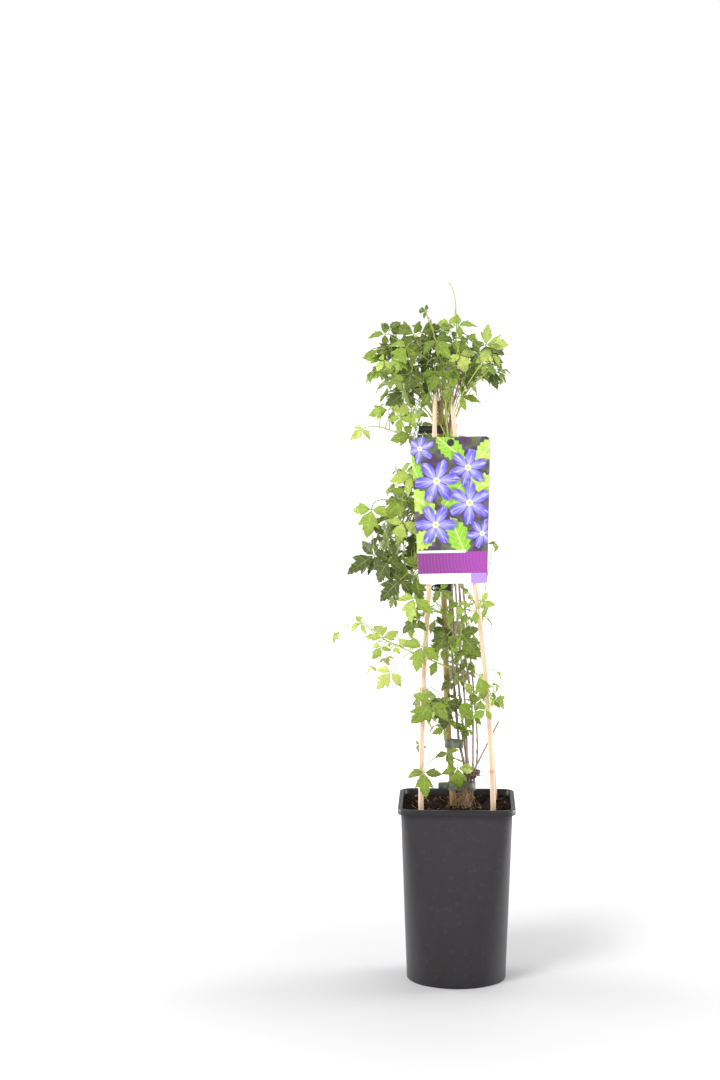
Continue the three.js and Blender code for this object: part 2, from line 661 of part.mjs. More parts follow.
// ---- Leafy shoots ----
// Each shoot leaves a woody stem at a height, or at its tip, and follows its route. Each leaf is [share
// along the shoot, fork x, y, z, heading in degrees, leaflet length, way it faces in degrees, leaflets].
// A facing of 0 is the front, and 90 is the right side.
const SHOOTS = [
  {
    name: "shoot_foot",
    stem: 0,
    height: 262,
    route: [[-1, -14, 266], [-14, -20, 272], [-30, -34, 268], [-37, -46, 262]],
    leaves: [
      [0.98, -38, -53, 257, -90, 31, 0, 3],
      [0.15, 1, -22, 257, -88, 31, 0, 3],
      [0.4, -11, -26, 276, -75, 19, 0, 3],
      [0.6, -44, -30, 287, -110, 15, -20, 3],
    ],
  },
  {
    name: "shoot_low_left",
    stem: 0,
    height: 322,
    route: [[-8, -15, 326], [-16, -24, 334], [-24, -36, 342], [-29, -46, 344]],
    leaves: [
      [0.98, -31, -53, 341, -118, 40, 0, 3],
      [0.3, -13, -28, 336, -97, 35, 0, 3],
      [0.5, -8, -24, 360, -150, 17, 0, 3],
    ],
  },
  {
    name: "shoot_low_right",
    stem: 3,
    height: 322,
    route: [[14, -14, 326], [20, -18, 334], [26, -20, 342]],
    leaves: [
      [0.15, 0, -22, 334, -48, 29, 10, 1],
      [0.95, 28, -22, 338, 172, 21, 0, 3],
      [0.6, 9, -18, 358, -50, 21, 0, 1],
    ],
  },
  {
    name: "shoot_right",
    stem: 2,
    height: 342,
    route: [[23, -6, 346], [33, -15, 352], [42, -27, 355], [42, -43, 351], [36, -50, 346]],
    leaves: [
      [0.98, 33, -54, 331, -140, 19, 0, 3],
      [0.8, 44, -46, 342, 10, 16, 20, 3],
      [0.4, 45, 8, 368, -50, 21, 40, 1],
      [0.9, 24, -48, 369, -62, 30, 0, 1],
    ],
  },
  {
    name: "shoot_far_left",
    stem: 0,
    height: 372,
    route: [
      [-16, -18, 378], [-34, -20, 386], [-52, -18, 393], [-74, -12, 402],
      [-96, -2, 412], [-112, 6, 424], [-134, 12, 420],
    ],
    leaves: [
      [0.4, -78, -26, 371, -128, 28, 0, 3],
      [0.66, -88, -12, 410, 100, 29, 0, 3],
      [0.6, -90, -18, 400, -112, 20, 0, 3],
      [0.5, -70, -18, 410, -42, 20, 0, 1],
      [0.82, -114, 8, 424, -150, 20, -20, 3],
      [0.98, -140, 12, 414, -125, 17, -20, 1],
    ],
  },
  {
    name: "shoot_mid_left",
    stem: 0,
    height: 430,
    route: [[-14, -16, 436], [-24, -26, 444], [-36, -38, 450], [-46, -38, 456]],
    leaves: [
      [0.6, -41, -44, 404, -112, 33, 0, 3],
      [0.8, -46, -44, 436, -142, 26, 0, 3],
      [0.98, -50, -47, 461, -116, 34, -10, 3],
      [0.35, -20, -36, 470, -38, 22, 0, 3],
    ],
  },
  {
    name: "shoot_mid_centre",
    stem: 3,
    height: 402,
    route: [[4, -18, 406], [2, -22, 414], [-6, -24, 420]],
    leaves: [
      [0.98, -12, -26, 415, -125, 29, 0, 3],
      [0.7, -24, -24, 384, -118, 21, 0, 1],
      [0.4, 6, -26, 415, -58, 36, 10, 3],
      [0.2, 8, -18, 388, -100, 20, 10, 1],
    ],
  },
  {
    name: "shoot_mid_right",
    stem: 2,
    height: 440,
    route: [[10, -6, 446], [20, -12, 452], [31, -24, 456], [31, -38, 458]],
    leaves: [
      [0.2, 2, -20, 452, -80, 20, 0, 3],
      [0.55, 12, -18, 440, -118, 16, 0, 1],
      [0.98, 28, -42, 457, -25, 18, 0, 3],
      [0.9, 22, -44, 446, -95, 17, 0, 1],
    ],
  },
  {
    name: "shoot_left_low",
    stem: 0,
    height: 480,
    route: [[-20, -15, 486], [-38, -16, 494], [-60, -20, 502], [-80, -18, 508], [-97, -17, 510]],
    leaves: [
      [0.98, -98, -19, 508, -144, 40, 0, 3],
      [0.86, -92, -4, 506, -112, 27, -20, 1],
      [0.72, -80, -30, 504, -122, 34, 0, 3],
      [0.55, -66, -22, 504, -98, 34, 0, 3],
      [0.7, -72, 6, 518, 165, 27, -20, 3],
      [0.4, -66, -32, 482, -132, 38, 0, 3],
      [0.3, -49, -18, 482, -84, 31, 0, 1],
    ],
  },
  {
    name: "shoot_left",
    stem: 0,
    height: 535,
    route: [[-24, -12, 541], [-44, -10, 552], [-58, -9, 568], [-57, -8, 588], [-52, -6, 606]],
    leaves: [
      [0.5, -101, -16, 562, -98, 36, 0, 3],
      [0.66, -60, -16, 577, -140, 40, 0, 3],
      [0.88, -54, -12, 600, 175, 32, 0, 3],
      [0.98, -54, -6, 616, -155, 25, -20, 1],
      [0.35, -64, -24, 548, -108, 30, 0, 3],
      [0.3, -70, 0, 540, -165, 28, -20, 3],
    ],
  },
  {
    name: "shoot_left_high",
    stem: 0,
    height: 612,
    route: [[-30, -6, 622], [-50, -4, 640], [-74, 0, 652], [-96, 3, 658], [-110, 4, 657]],
    leaves: [
      [0.4, -55, -14, 650, -160, 28, 0, 3],
      [0.98, -113, 3, 655, -122, 20, 0, 3],
      [0.7, -82, 2, 678, -165, 27, 0, 1],
      [0.5, -54, -3, 678, 178, 32, -10, 3],
      [0.45, -50, -14, 667, 172, 18, 0, 1],
    ],
  },
  {
    name: "shoot_crown_left",
    stem: 0,
    route: [
      [-16, -11, 652], [-23, -11, 665], [-38, -9, 688],
      [-54, -6, 708], [-71, -5, 723], [-86, -4, 735],
    ],
    leaves: [
      [0.5, -62, -12, 700, -132, 31, 0, 3],
      [0.98, -89, -5, 738, 178, 24, 0, 3],
      [0.9, -82, -16, 730, -140, 27, 0, 3],
      [0.6, -54, -42, 724, -104, 26, 0, 3],
      [0.75, -60, -35, 752, -122, 31, 0, 3],
      [0.4, -34, -24, 700, -100, 22, 0, 1],
      [0.8, -72, -22, 728, -88, 30, -10, 3],
    ],
  },
  {
    name: "shoot_crown_back_left",
    stem: 1,
    route: [[-15, 5, 666], [-26, 6, 692], [-42, 3, 728], [-60, 1, 752], [-78, 2, 763]],
    leaves: [
      [0.98, -86, 10, 766, 178, 23, 0, 3],
      [0.92, -80, -6, 772, 60, 21, 0, 3],
      [0.72, -52, -6, 766, 150, 31, 0, 3],
      [0.7, -44, -4, 768, 25, 31, 0, 3],
      [0.8, -70, 8, 752, -152, 34, -20, 3],
    ],
  },
  {
    name: "shoot_crown_middle",
    stem: 3,
    route: [
      [-13, -15, 660], [-15, -21, 692], [-20, -18, 730],
      [-27, -12, 762], [-36, -4, 786], [-38, -2, 793],
    ],
    leaves: [
      [0.7, -26, -32, 760, -60, 29, 0, 3],
      [0.6, -33, -11, 744, -104, 28, 0, 3],
      [0.5, -27, -34, 724, -95, 27, 0, 3],
      [0.3, -12, -30, 706, -95, 22, 0, 1],
      [0.99, -38, -2, 793, 165, 14, 0, 3],
      [0.8, -22, -20, 772, 35, 22, 0, 1],
    ],
  },
  {
    name: "shoot_crown_tendril",
    stem: 2,
    route: [
      [-5, -5, 664], [-6, -10, 700], [-4, -10, 740], [-2, -5, 770],
      [-3, -3, 790], [-4, -2, 806], [-7, -1, 819], [-12, 0, 827],
    ],
    leaves: [
      [0.68, 0, -8, 777, 12, 22, 0, 3],
      [0.5, 2, -34, 744, -70, 26, 10, 3],
      [0.6, -10, 10, 776, 150, 23, 0, 3],
      [0.55, -9, -18, 758, -35, 26, 0, 1],
    ],
  },
  {
    name: "shoot_crown_right",
    stem: 4,
    route: [[-9.5, 7, 661], [0, 3, 675], [4, 7, 696], [7, 8, 722], [15, 4, 744], [30, 0, 754]],
    leaves: [
      [0.99, 32, -1, 754, 2, 33, 10, 3],
      [0.8, 8, 6, 762, -3, 27, 20, 1],
      [0.75, 19, -12, 745, -12, 39, 0, 3],
      [0.5, 6, -10, 712, 20, 22, 10, 1],
      [0.35, 5, -22, 694, -8, 23, 10, 3],
    ],
  },
];

// Shoots round the back, whose leaves climb in a spiral of golden-angle steps.
const GOLDEN_ANGLE = 137.508;
const BACK_MIDDLE = [-8, 8];
const BACK_FACING = 215;
const BACK_SPREAD = 50;
const BACK_REACH_RANGE = [0.75, 1.1];
const BACK_LENGTH_RANGE = [23, 32];
const BACK_SHOOTS = [
  { name: "shoot_back_low", stem: 1, height: 300, top: 380, reach: 44, leaves: 3 },
  { name: "shoot_back_middle", stem: 4, height: 405, top: 490, reach: 46, leaves: 3 },
  { name: "shoot_back_high", stem: 1, height: 520, top: 600, reach: 46, leaves: 3 },
  { name: "shoot_back_top", stem: 4, height: 618, top: 735, reach: 42, leaves: 3 },
];

function backShoot({ name, stem, height, top, reach, leaves }, order) {
  const [middleX, middleY] = BACK_MIDDLE;
  const leafAt = (k) => {
    const share = (k + 0.5) / leaves;
    const facing = BACK_FACING + BACK_SPREAD * Math.sin(radians(GOLDEN_ANGLE * (k + 5 * order)));
    const out = reach * between(...BACK_REACH_RANGE, k + 50 * order);
    const x = middleX + out * Math.sin(radians(facing));
    const y = middleY - out * Math.cos(radians(facing));
    const heading = -90 + 80 * Math.cos(radians(GOLDEN_ANGLE * (k + 1)));
    const length = between(...BACK_LENGTH_RANGE, k + 90 + order);
    return [0.2 + 0.75 * share, x, y, height + (top - height) * share, heading, length, facing, 3];
  };
  return {
    name,
    stem,
    height,
    route: [[-6, 24, height + 8], [-10, 30, (height + top) / 2], [-14, 28, top]],
    leaves: Array.from({ length: leaves }, (_, k) => leafAt(k)),
  };
}

// The shoot's centre line. It starts just clear of the woody stem's bark, or above the stem's tip where no height
// is given, and turns up into its route.
function shootCurve({ stem, height, route }) {
  const { radius, route: stemRoute } = WOODY_STEMS[stem];
  if (!height) {
    const [x, y, z] = stemRoute[stemRoute.length - 1];
    return routeCurve([[x, y, z + SHOOT_GAP], ...route]);
  }
  const bark = pointAtHeight(routeCurve(stemRoute), height);
  const away = vec(...route[0]).sub(bark).setZ(0).normalize();
  const start = bark.clone().addScaledVector(away, radius + SHOOT_GAP);
  return routeCurve([start.toArray(), ...route]);
}

function makeShoots() {
  const shoots = [...SHOOTS, ...BACK_SHOOTS.map(backShoot)];
  let seed = 0;
  for (const shoot of shoots) {
    const curve = shootCurve(shoot);
    const steps = 2 * shoot.route.length;
    const solids = [toSolid(tube(curve, taper(SHOOT_RADIUS, SHOOT_NARROWING, steps), 4))];
    for (const leaf of shoot.leaves) {
      seed += 1;
      const stalkFoot = curve.getPoint(Math.round(leaf[0] * steps) / steps);
      solids.push(leafSolid(stalkFoot, leaf, seed));
    }
    addPiece(shoot.name, toGeometry(fuse(solids)), MATERIALS.leaf);
  }
}

makePot();
makeSoil();
makeCanes();
makeWoodyStems();
makeTies();
makeCard();
makeShoots();

export default root;
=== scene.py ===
"""Dresses a young clematis in its nursery pot: soil, bamboo canes, old stems, leafy shoots, ties and card."""

import logging
import math
from dataclasses import dataclass, field
from enum import Enum
from functools import lru_cache
from typing import Optional, Sequence, Union

import bpy
import numpy as np
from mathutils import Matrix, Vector


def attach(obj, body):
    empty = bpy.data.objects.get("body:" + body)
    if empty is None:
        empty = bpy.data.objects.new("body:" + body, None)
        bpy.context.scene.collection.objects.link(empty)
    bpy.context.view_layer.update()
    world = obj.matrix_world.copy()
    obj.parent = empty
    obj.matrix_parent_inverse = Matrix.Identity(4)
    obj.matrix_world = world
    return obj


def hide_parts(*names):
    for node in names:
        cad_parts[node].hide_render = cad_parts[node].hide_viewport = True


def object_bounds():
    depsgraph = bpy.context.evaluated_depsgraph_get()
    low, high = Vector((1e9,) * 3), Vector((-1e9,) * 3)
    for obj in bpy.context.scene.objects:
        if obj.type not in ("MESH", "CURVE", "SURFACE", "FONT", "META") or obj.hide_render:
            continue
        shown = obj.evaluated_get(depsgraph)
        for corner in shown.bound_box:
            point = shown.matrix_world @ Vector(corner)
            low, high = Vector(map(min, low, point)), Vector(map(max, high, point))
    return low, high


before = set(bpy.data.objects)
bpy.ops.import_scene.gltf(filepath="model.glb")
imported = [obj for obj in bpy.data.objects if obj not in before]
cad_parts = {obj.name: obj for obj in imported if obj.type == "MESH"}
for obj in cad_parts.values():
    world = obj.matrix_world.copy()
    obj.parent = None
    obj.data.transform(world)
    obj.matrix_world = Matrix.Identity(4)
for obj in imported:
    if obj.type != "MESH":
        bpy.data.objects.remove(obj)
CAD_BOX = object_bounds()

Array = np.ndarray
Colour = tuple[float, float, float]
Point = tuple[float, float, float]
Span = tuple[float, float]
Material = bpy.types.Material
Socket = bpy.types.NodeSocket

BODY = "root"
MM = 0.001
BOX_LOW, BOX_HIGH = (np.array(corner) / MM for corner in CAD_BOX)
LOG = logging.getLogger("clematis")


# ---------------------------------------------------------------- surfaces


@dataclass
class Surface:
    """Faces in the making, in millimetres, with a texture place for each corner.

    tone runs from dark (0) to pale (1), and under is 1 on the underside of a blade.
    """

    points: Array
    quads: Array
    quad_uv: Array
    tris: Array = field(default_factory=lambda: np.zeros((0, 3), int))
    tri_uv: Array = field(default_factory=lambda: np.zeros((0, 3, 2)))
    tone: float = 0.5
    under: Optional[Array] = None
    finish: int = 0

    def marks(self) -> tuple[Array, Array]:
        """Returns the tone and the under number of every point."""
        count = len(self.points)
        return np.full(count, self.tone), np.zeros(count) if self.under is None else self.under


def join(parts: Sequence[Surface]) -> tuple[Surface, Array, Array, Array]:
    """Puts surfaces into one.

    Args:
        parts: the surfaces, in order.

    Returns:
        The joined surface, the tone and under number of each point, and the finish of each face.
    """
    starts = np.cumsum([0] + [len(p.points) for p in parts[:-1]])
    whole = Surface(
        np.concatenate([p.points for p in parts]),
        np.concatenate([p.quads + s for p, s in zip(parts, starts)]),
        np.concatenate([p.quad_uv for p in parts]),
        np.concatenate([p.tris + s for p, s in zip(parts, starts)]),
        np.concatenate([p.tri_uv for p in parts]),
    )
    tones, unders = (np.concatenate(marks) for marks in zip(*(p.marks() for p in parts)))
    faces = [(len(p.quads), p.finish) for p in parts] + [(len(p.tris), p.finish) for p in parts]
    return whole, tones, unders, np.repeat([mark for _, mark in faces], [count for count, _ in faces])


def lattice(rows: int, columns: int, wrap: bool) -> tuple[Array, Array]:
    """Numbers the quads of a grid of points and gives each corner its place from 0 to 1.

    Args:
        rows: points along the first parameter.
        columns: points along the second parameter.
        wrap: whether the last column joins the first.

    Returns:
        The quads, and their corners' (across, along) shares.
    """
    across = columns if wrap else columns - 1
    i, j = (n.ravel() for n in np.meshgrid(np.arange(rows - 1), np.arange(across), indexing="ij"))
    corners = [(i, j), (i, j + 1), (i + 1, j + 1), (i + 1, j)]
    quads = np.stack([a * columns + b % columns for a, b in corners], axis=1)
    shares = np.stack([np.stack([b / across, a / (rows - 1)], axis=1) for a, b in corners], axis=1)
    return quads, shares


def revolve(rings: Array, along: Array, finish: int = 0, tone: float = 0.5) -> Surface:
    """Closes a stack of rings into a solid: side faces between the rings and a fan over each end.

    Args:
        rings: (rows, columns, 3) points; each ring runs anticlockwise seen from ahead.
        along: each ring's texture place along the stack.
        finish: which of the piece's finishes it takes.
        tone: from dark to pale.

    Returns:
        The closed surface.
    """
    rows, columns, _ = rings.shape
    quads, uv = lattice(rows, columns, wrap=True)
    uv[:, :, 1] = np.interp(uv[:, :, 1], np.linspace(0, 1, rows), along)
    around = np.arange(columns)
    after = (around + 1) % columns
    foot, last = rows * columns, (rows - 1) * columns
    foot_fan = np.stack([np.full(columns, foot), after, around], axis=1)
    head_fan = np.stack([np.full(columns, foot + 1), last + around, last + after], axis=1)
    fan_uv = [np.stack([around / columns, np.full(columns, end)], axis=1) for end in (along[0], along[-1])]
    points = np.concatenate([rings.reshape(-1, 3), rings[[0, -1]].mean(axis=1)])
    tri_uv = np.repeat(np.concatenate(fan_uv)[:, None], 3, axis=1)
    return Surface(points, quads, uv, np.concatenate([foot_fan, head_fan]), tri_uv, tone, None, finish)


def turns(count: int) -> Array:
    """Returns angles evenly spread round a circle."""
    return np.linspace(0, 2 * np.pi, count, endpoint=False)


def unit(vectors: Array) -> Array:
    """Returns vectors at a length of 1."""
    return vectors / np.linalg.norm(vectors, axis=-1, keepdims=True)


def tangents(path: Array) -> Array:
    """Returns the unit direction of a path at each of its points, from its neighbours."""
    return unit(np.gradient(path, axis=0))


def distances(path: Array) -> Array:
    """Returns how far along a path each of its points lies."""
    return np.concatenate([[0], np.cumsum(np.linalg.norm(np.diff(path, axis=0), axis=1))])


def circles(path: Array, ahead: Array, axis: Array, reach: Array) -> Array:
    """Sets a ring at each centre: ring point = centre + reach x (cos a x across + sin a x beside).

    Args:
        path: (rows, 3) centres.
        ahead: the path's unit directions.
        axis: the direction that across follows, square to the path.
        reach: (rows, sides) distances from the centres.

    Returns:
        (rows, sides, 3) points.
    """
    across = unit(axis - ahead * (ahead @ axis)[:, None])
    beside = np.cross(ahead, across)
    angle = turns(reach.shape[1])
    side = (reach * np.cos(angle))[..., None] * across[:, None]
    return path[:, None] + side + (reach * np.sin(angle))[..., None] * beside[:, None]


def sweep(
    path: Array,
    radii: Union[Array, Span],
    sides: int,
    finish: int = 0,
    tone: float = 0.5,
    wobble: Optional[Array] = None,
) -> Surface:
    """Carries a circle along a path, on the world axis that lies most nearly square to it all along.

    Args:
        path: (rows, 3) centres.
        radii: radius of each ring, or the first and last in a tuple for an even taper.
        sides: points in a ring.
        finish: which of the piece's finishes it takes.
        tone: from dark to pale.
        wobble: (rows, sides) factors on the radius, for bark and lumps.

    Returns:
        The closed tube; its texture runs in millimetres along the path.
    """
    ahead = tangents(path)
    axis = np.eye(3)[np.argmin(np.abs(ahead).max(axis=0))]
    radii = np.linspace(*radii, len(path)) if isinstance(radii, tuple) else radii
    reach = radii[:, None] * (1 if wobble is None else wobble) * np.ones((len(path), sides))
    return revolve(circles(path, ahead, axis, reach), distances(path), finish, tone)


def catmull_rom(route: Array, share: Array) -> Array:
    """Follows the uniform Catmull-Rom spline through a route, with each end mirrored past itself.

    Args:
        route: (n, 3) points.
        share: places from 0 to 1, evenly spread over the stretches between the points.

    Returns:
        The points of the spline at those places.
    """
    route = np.asarray(route, float)
    ends = np.concatenate([[2 * route[0] - route[1]], route, [2 * route[-1] - route[-2]]])
    place = np.clip(np.asarray(share, float), 0, 1) * (len(route) - 1)
    start = np.minimum(place.astype(int), len(route) - 2)
    t = (place - start)[:, None]
    p0, p1, p2, p3 = (ends[start + k] for k in range(4))
    leave, arrive = (p2 - p0) / 2, (p3 - p1) / 2
    square, cube = 3 * (p2 - p1) - 2 * leave - arrive, 2 * (p1 - p2) + leave + arrive
    return p1 + leave * t + square * t**2 + cube * t**3


def bezier(a: Array, b: Array, c: Array, d: Array, count: int) -> Array:
    """Returns points of the cubic Bezier curve from a to d that leaves towards b and arrives from c."""
    t = np.linspace(0, 1, count)[:, None]
    s = 1 - t
    return s**3 * a + 3 * s**2 * t * b + 3 * s * t**2 * c + t**3 * d


def arched(start: Array, end: Array, bow: Array, count: int) -> Array:
    """Returns points from start to end, pushed out by bow x sin(pi t) between them."""
    t = np.linspace(0, 1, count)[:, None]
    return start * (1 - t) + end * t + np.sin(np.pi * t) * bow


def height_on(route: Sequence[Point], height: float) -> Array:
    """Finds the point of a climbing spline at a height, by forty halvings."""
    low, high = 0.0, 1.0
    for _ in range(40):
        middle = (low + high) / 2
        if catmull_rom(route, np.array([middle]))[0, 2] < height:
            low = middle
        else:
            high = middle
    return catmull_rom(route, np.array([low]))[0]


def ripples(x: Array, y: Array, seed: int, lengths: Span, count: int = 24) -> Array:
    """Adds plane waves of seeded directions, lengths and phases into a bumpy field of about -1 to 1."""
    draw = np.random.default_rng(seed)
    length = draw.uniform(*lengths, count)
    turn, phase = draw.uniform(0, 2 * np.pi, (2, count))
    along = x[..., None] * np.cos(turn) + y[..., None] * np.sin(turn)
    return np.sin(2 * np.pi * along / length + phase).sum(axis=-1) / math.sqrt(count)


# ---------------------------------------------------------------- shader maths


class Level:
    """A number socket that can be used in Python expressions; each operator adds its Math node."""

    def __init__(self, board: "Board", socket: Socket) -> None:
        """Wraps a socket of a board's tree."""
        self.board = board
        self.socket = socket

    def __add__(self, other: "Number") -> "Level":
        """Adds."""
        return self.board.math("ADD", self, other)

    def __mul__(self, other: "Number") -> "Level":
        """Multiplies."""
        return self.board.math("MULTIPLY", self, other)

    def __sub__(self, other: "Number") -> "Level":
        """Subtracts."""
        return self.board.math("SUBTRACT", self, other)

    def __rsub__(self, other: "Number") -> "Level":
        """Subtracts this from a number."""
        return self.board.math("SUBTRACT", other, self)

    def __truediv__(self, other: "Number") -> "Level":
        """Divides."""
        return self.board.math("DIVIDE", self, other)

    def __rtruediv__(self, other: "Number") -> "Level":
        """Divides a number by this."""
        return self.board.math("DIVIDE", other, self)

    def __pow__(self, other: "Number") -> "Level":
        """Raises to a power."""
        return self.board.math("POWER", self, other)

    def __abs__(self) -> "Level":
        """Drops the sign."""
        return self.board.math("ABSOLUTE", self)

    __radd__ = __add__
    __rmul__ = __mul__


Number = Union[Level, float, int]
Ink = Union[Socket, Colour]


class Board:
    """One material's nodes: a Principled shader and the helpers that feed it."""

    def __init__(self, name: str) -> None:
        """Starts an empty material with its shader and output."""
        self.material = bpy.data.materials.new(name)
        self.material.use_nodes = True
        self.tree = self.material.node_tree
        self.tree.nodes.clear()
        self.shader = self.node("ShaderNodeBsdfPrincipled")
        self.node("ShaderNodeOutputMaterial", None, {"Surface": self.shader.outputs[0]})
        self.place = self.node("ShaderNodeTexCoord").outputs["Object"]

    def node(
        self, kind: str, settings: Optional[dict] = None, inputs: Optional[dict] = None
    ) -> bpy.types.Node:
        """Adds a node.

        Args:
            kind: its Blender type.
            settings: its properties, set first.
            inputs: values, sockets or levels for its sockets, by name or number.

        Returns:
            The node.
        """
        made = self.tree.nodes.new(kind)
        for key, value in (settings or {}).items():
            setattr(made, key, value)
        for key, value in (inputs or {}).items():
            self.feed(made.inputs[key], value)
        return made

    def feed(self, socket: Socket, value: object) -> None:
        """Links a level or socket into a socket, or sets its value."""
        if isinstance(value, Level):
            value = value.socket
        if isinstance(value, Socket):
            self.tree.links.new(value, socket)
        elif isinstance(value, tuple) and socket.type == "RGBA":
            socket.default_value = (*value[:3], 1)
        else:
            socket.default_value = value

    def level(self, kind: str, settings: Optional[dict], inputs: dict, output: Union[int, str] = 0) -> Level:
        """Adds a node and returns one of its outputs as a level."""
        return Level(self, self.node(kind, settings, inputs).outputs[output])

    def math(self, operation: str, *values: Number) -> Level:
        """Adds a Math node of an operation on up to three values."""
        return self.level("ShaderNodeMath", {"operation": operation}, dict(enumerate(values)))

    def highest(self, a: Number, b: Number) -> Level:
        """Returns the higher of two levels."""
        return self.math("MAXIMUM", a, b)

    def far(self, x: Level, y: Level) -> Level:
        """Returns how far from the middle of its plane a place lies."""
        return self.math("SQRT", x * x + y * y)

    def saw(self, value: Level) -> Level:
        """Returns how far a value is from the middle between two whole numbers, 0 to a half."""
        return abs(self.math("FRACT", value) - 0.5)

    def step(self, value: Number, start: float, end: float) -> Level:
        """Rises smoothly from 0 to 1 as the value goes from start to end, which may run downwards."""
        ends = {"Value": value, "From Min": start, "From Max": end}
        return self.level("ShaderNodeMapRange", {"interpolation_type": "SMOOTHSTEP"}, ends)

    def split(self, vector: Socket) -> tuple[Level, Level, Level]:
        """Takes a vector apart."""
        made = self.node("ShaderNodeSeparateXYZ", None, {0: vector})
        return tuple(Level(self, out) for out in made.outputs)

    def vector(self, x: Number, y: Number, z: Number = 0.0) -> Socket:
        """Puts a vector together."""
        return self.node("ShaderNodeCombineXYZ", None, {0: x, 1: y, 2: z}).outputs[0]

    def uv(self) -> tuple[Level, Level]:
        """Returns the piece's own texture place, across and along."""
        return self.split(self.node("ShaderNodeUVMap", {"uv_map": "UVMap"}).outputs[0])[:2]

    def mark(self, name: str) -> Level:
        """Reads a number that the mesh keeps at each point."""
        return self.level("ShaderNodeAttribute", {"attribute_name": name}, {}, "Fac")

    def noise(self, where: Socket, scale: float, detail: float = 3.0, warp: float = 0.0) -> Level:
        """Returns fractal noise from 0 to 1 at a place."""
        inputs = {"Vector": where, "Scale": scale, "Detail": detail, "Distortion": warp}
        return self.level("ShaderNodeTexNoise", None, inputs)

    def strands(self, around: float, along: float, scale: float, detail: float) -> Level:
        """Returns noise on the piece's own texture place, stretched around and along."""
        x, y = self.uv()
        return self.noise(self.vector(x * around, y * along), scale, detail)

    def cells(self, where: Socket, scale: float, feature: str = "F1") -> Level:
        """Returns the distance in a Voronoi pattern at a place."""
        inputs = {"Vector": where, "Scale": scale}
        return self.level("ShaderNodeTexVoronoi", {"feature": feature}, inputs, "Distance")

    def stretched(self, x: float, y: float, z: float) -> Socket:
        """Returns object coordinates scaled along each axis."""
        return self.node("ShaderNodeMapping", None, {0: self.place, "Scale": (x, y, z)}).outputs[0]

    def blend(self, share: Number, first: Ink, second: Ink) -> Socket:
        """Mixes two colours; the node holds the share between 0 and 1."""
        made = self.node("ShaderNodeMix", {"data_type": "RGBA"}, {0: share, 6: first, 7: second})
        return made.outputs[2]

    def layers(self, colour: Ink, *coats: tuple[Number, Ink]) -> Socket:
        """Lays coats over a colour one after another, each a share and its own colour."""
        for share, ink in coats:
            colour = self.blend(share, colour, ink)
        return colour

    def surface(
        self, colour: Ink, rough: Number, height: Optional[Number] = None, depth: float = 0.2, **shader: float
    ) -> Material:
        """Feeds the shader.

        Args:
            colour: base colour.
            rough: roughness.
            height: bump height from 0 to 1.
            depth: what a height of 1 stands for, in millimetres.
            shader: constants for other sockets, with _ for a space.

        Returns:
            The finished material.
        """
        self.feed(self.shader.inputs["Base Color"], colour)
        self.feed(self.shader.inputs["Roughness"], rough)
        for key, value in shader.items():
            self.shader.inputs[key.replace("_", " ")].default_value = value
        if height is not None:
            inputs = {"Height": height, "Distance": depth * MM, "Strength": 1.0}
            self.feed(self.shader.inputs["Normal"], self.node("ShaderNodeBump", None, inputs).outputs[0])
        return self.material


# ---------------------------------------------------------------- finishes


@dataclass(frozen=True)
class MouldedPlastic:
    """Charcoal pot plastic with faint upright flow marks, fine grain, dust, scuffs and a darker flange."""

    deep: Colour = (0.0098, 0.0084, 0.0100)
    worn: Colour = (0.025, 0.0222, 0.0245)
    dust: Colour = (0.13, 0.11, 0.09)
    scuffed: Colour = (0.16, 0.155, 0.15)
    flange: Colour = (0.003, 0.003, 0.0035)
    flange_foot: float = 0.2075
    lip: float = 0.2142
    edge: float = 0.0005

    def dress(self) -> Material:
        """Returns the material."""
        b = Board("pot_plastic")
        z = b.split(b.place)[2]
        flow = b.noise(b.stretched(60, 60, 6), 3, 4)
        cloud = b.noise(b.place, 22, 5)
        scuff = b.step(b.noise(b.stretched(120, 120, 420), 2.2, 6), 0.64, 0.72) * b.step(cloud, 0.45, 0.65)
        on_lip = b.step(z, self.lip, self.lip + self.edge)
        on_flange = b.step(z, self.flange_foot, self.flange_foot + self.edge) * (1 - on_lip)
        dusty = b.step(b.noise(b.place, 130, 6), 0.56, 0.74) * (0.2 + 0.6 * on_lip)
        colour = b.layers(
            self.deep, (flow * 0.55 + cloud * 0.35, self.worn), (on_flange * 0.8, self.flange),
            (scuff * 0.35, self.scuffed), (dusty * 0.5, self.dust),
        )
        rough = 0.30 + 0.10 * cloud + 0.08 * flow + 0.25 * dusty
        grain = b.noise(b.place, 2600, 2)
        return b.surface(colour, rough, grain * 0.5 + flow * 0.5, 0.05, IOR=1.5, Specular_IOR_Level=0.42)


@dataclass(frozen=True)
class Peat:
    """Damp peat: near black crumbs with rusty and fawn flecks."""

    deep: Colour = (0.006, 0.0038, 0.0027)
    crumb: Colour = (0.028, 0.0155, 0.0095)
    fleck: Colour = (0.13, 0.070, 0.036)

    def dress(self) -> Material:
        """Returns the material."""
        b = Board("potting_soil")
        fine = b.noise(b.place, 900, 6)
        mixed = fine * 0.6 + b.noise(b.place, 90, 4) * 0.4
        flecks = b.step(b.noise(b.place, 340, 3), 0.66, 0.74) * 0.8
        colour = b.layers(self.deep, (mixed, self.crumb), (flecks, self.fleck))
        height = b.cells(b.place, 420) * 0.6 + fine * 0.6
        return b.surface(colour, 0.85 + 0.15 * fine, height, 1.3, Specular_IOR_Level=0.08)


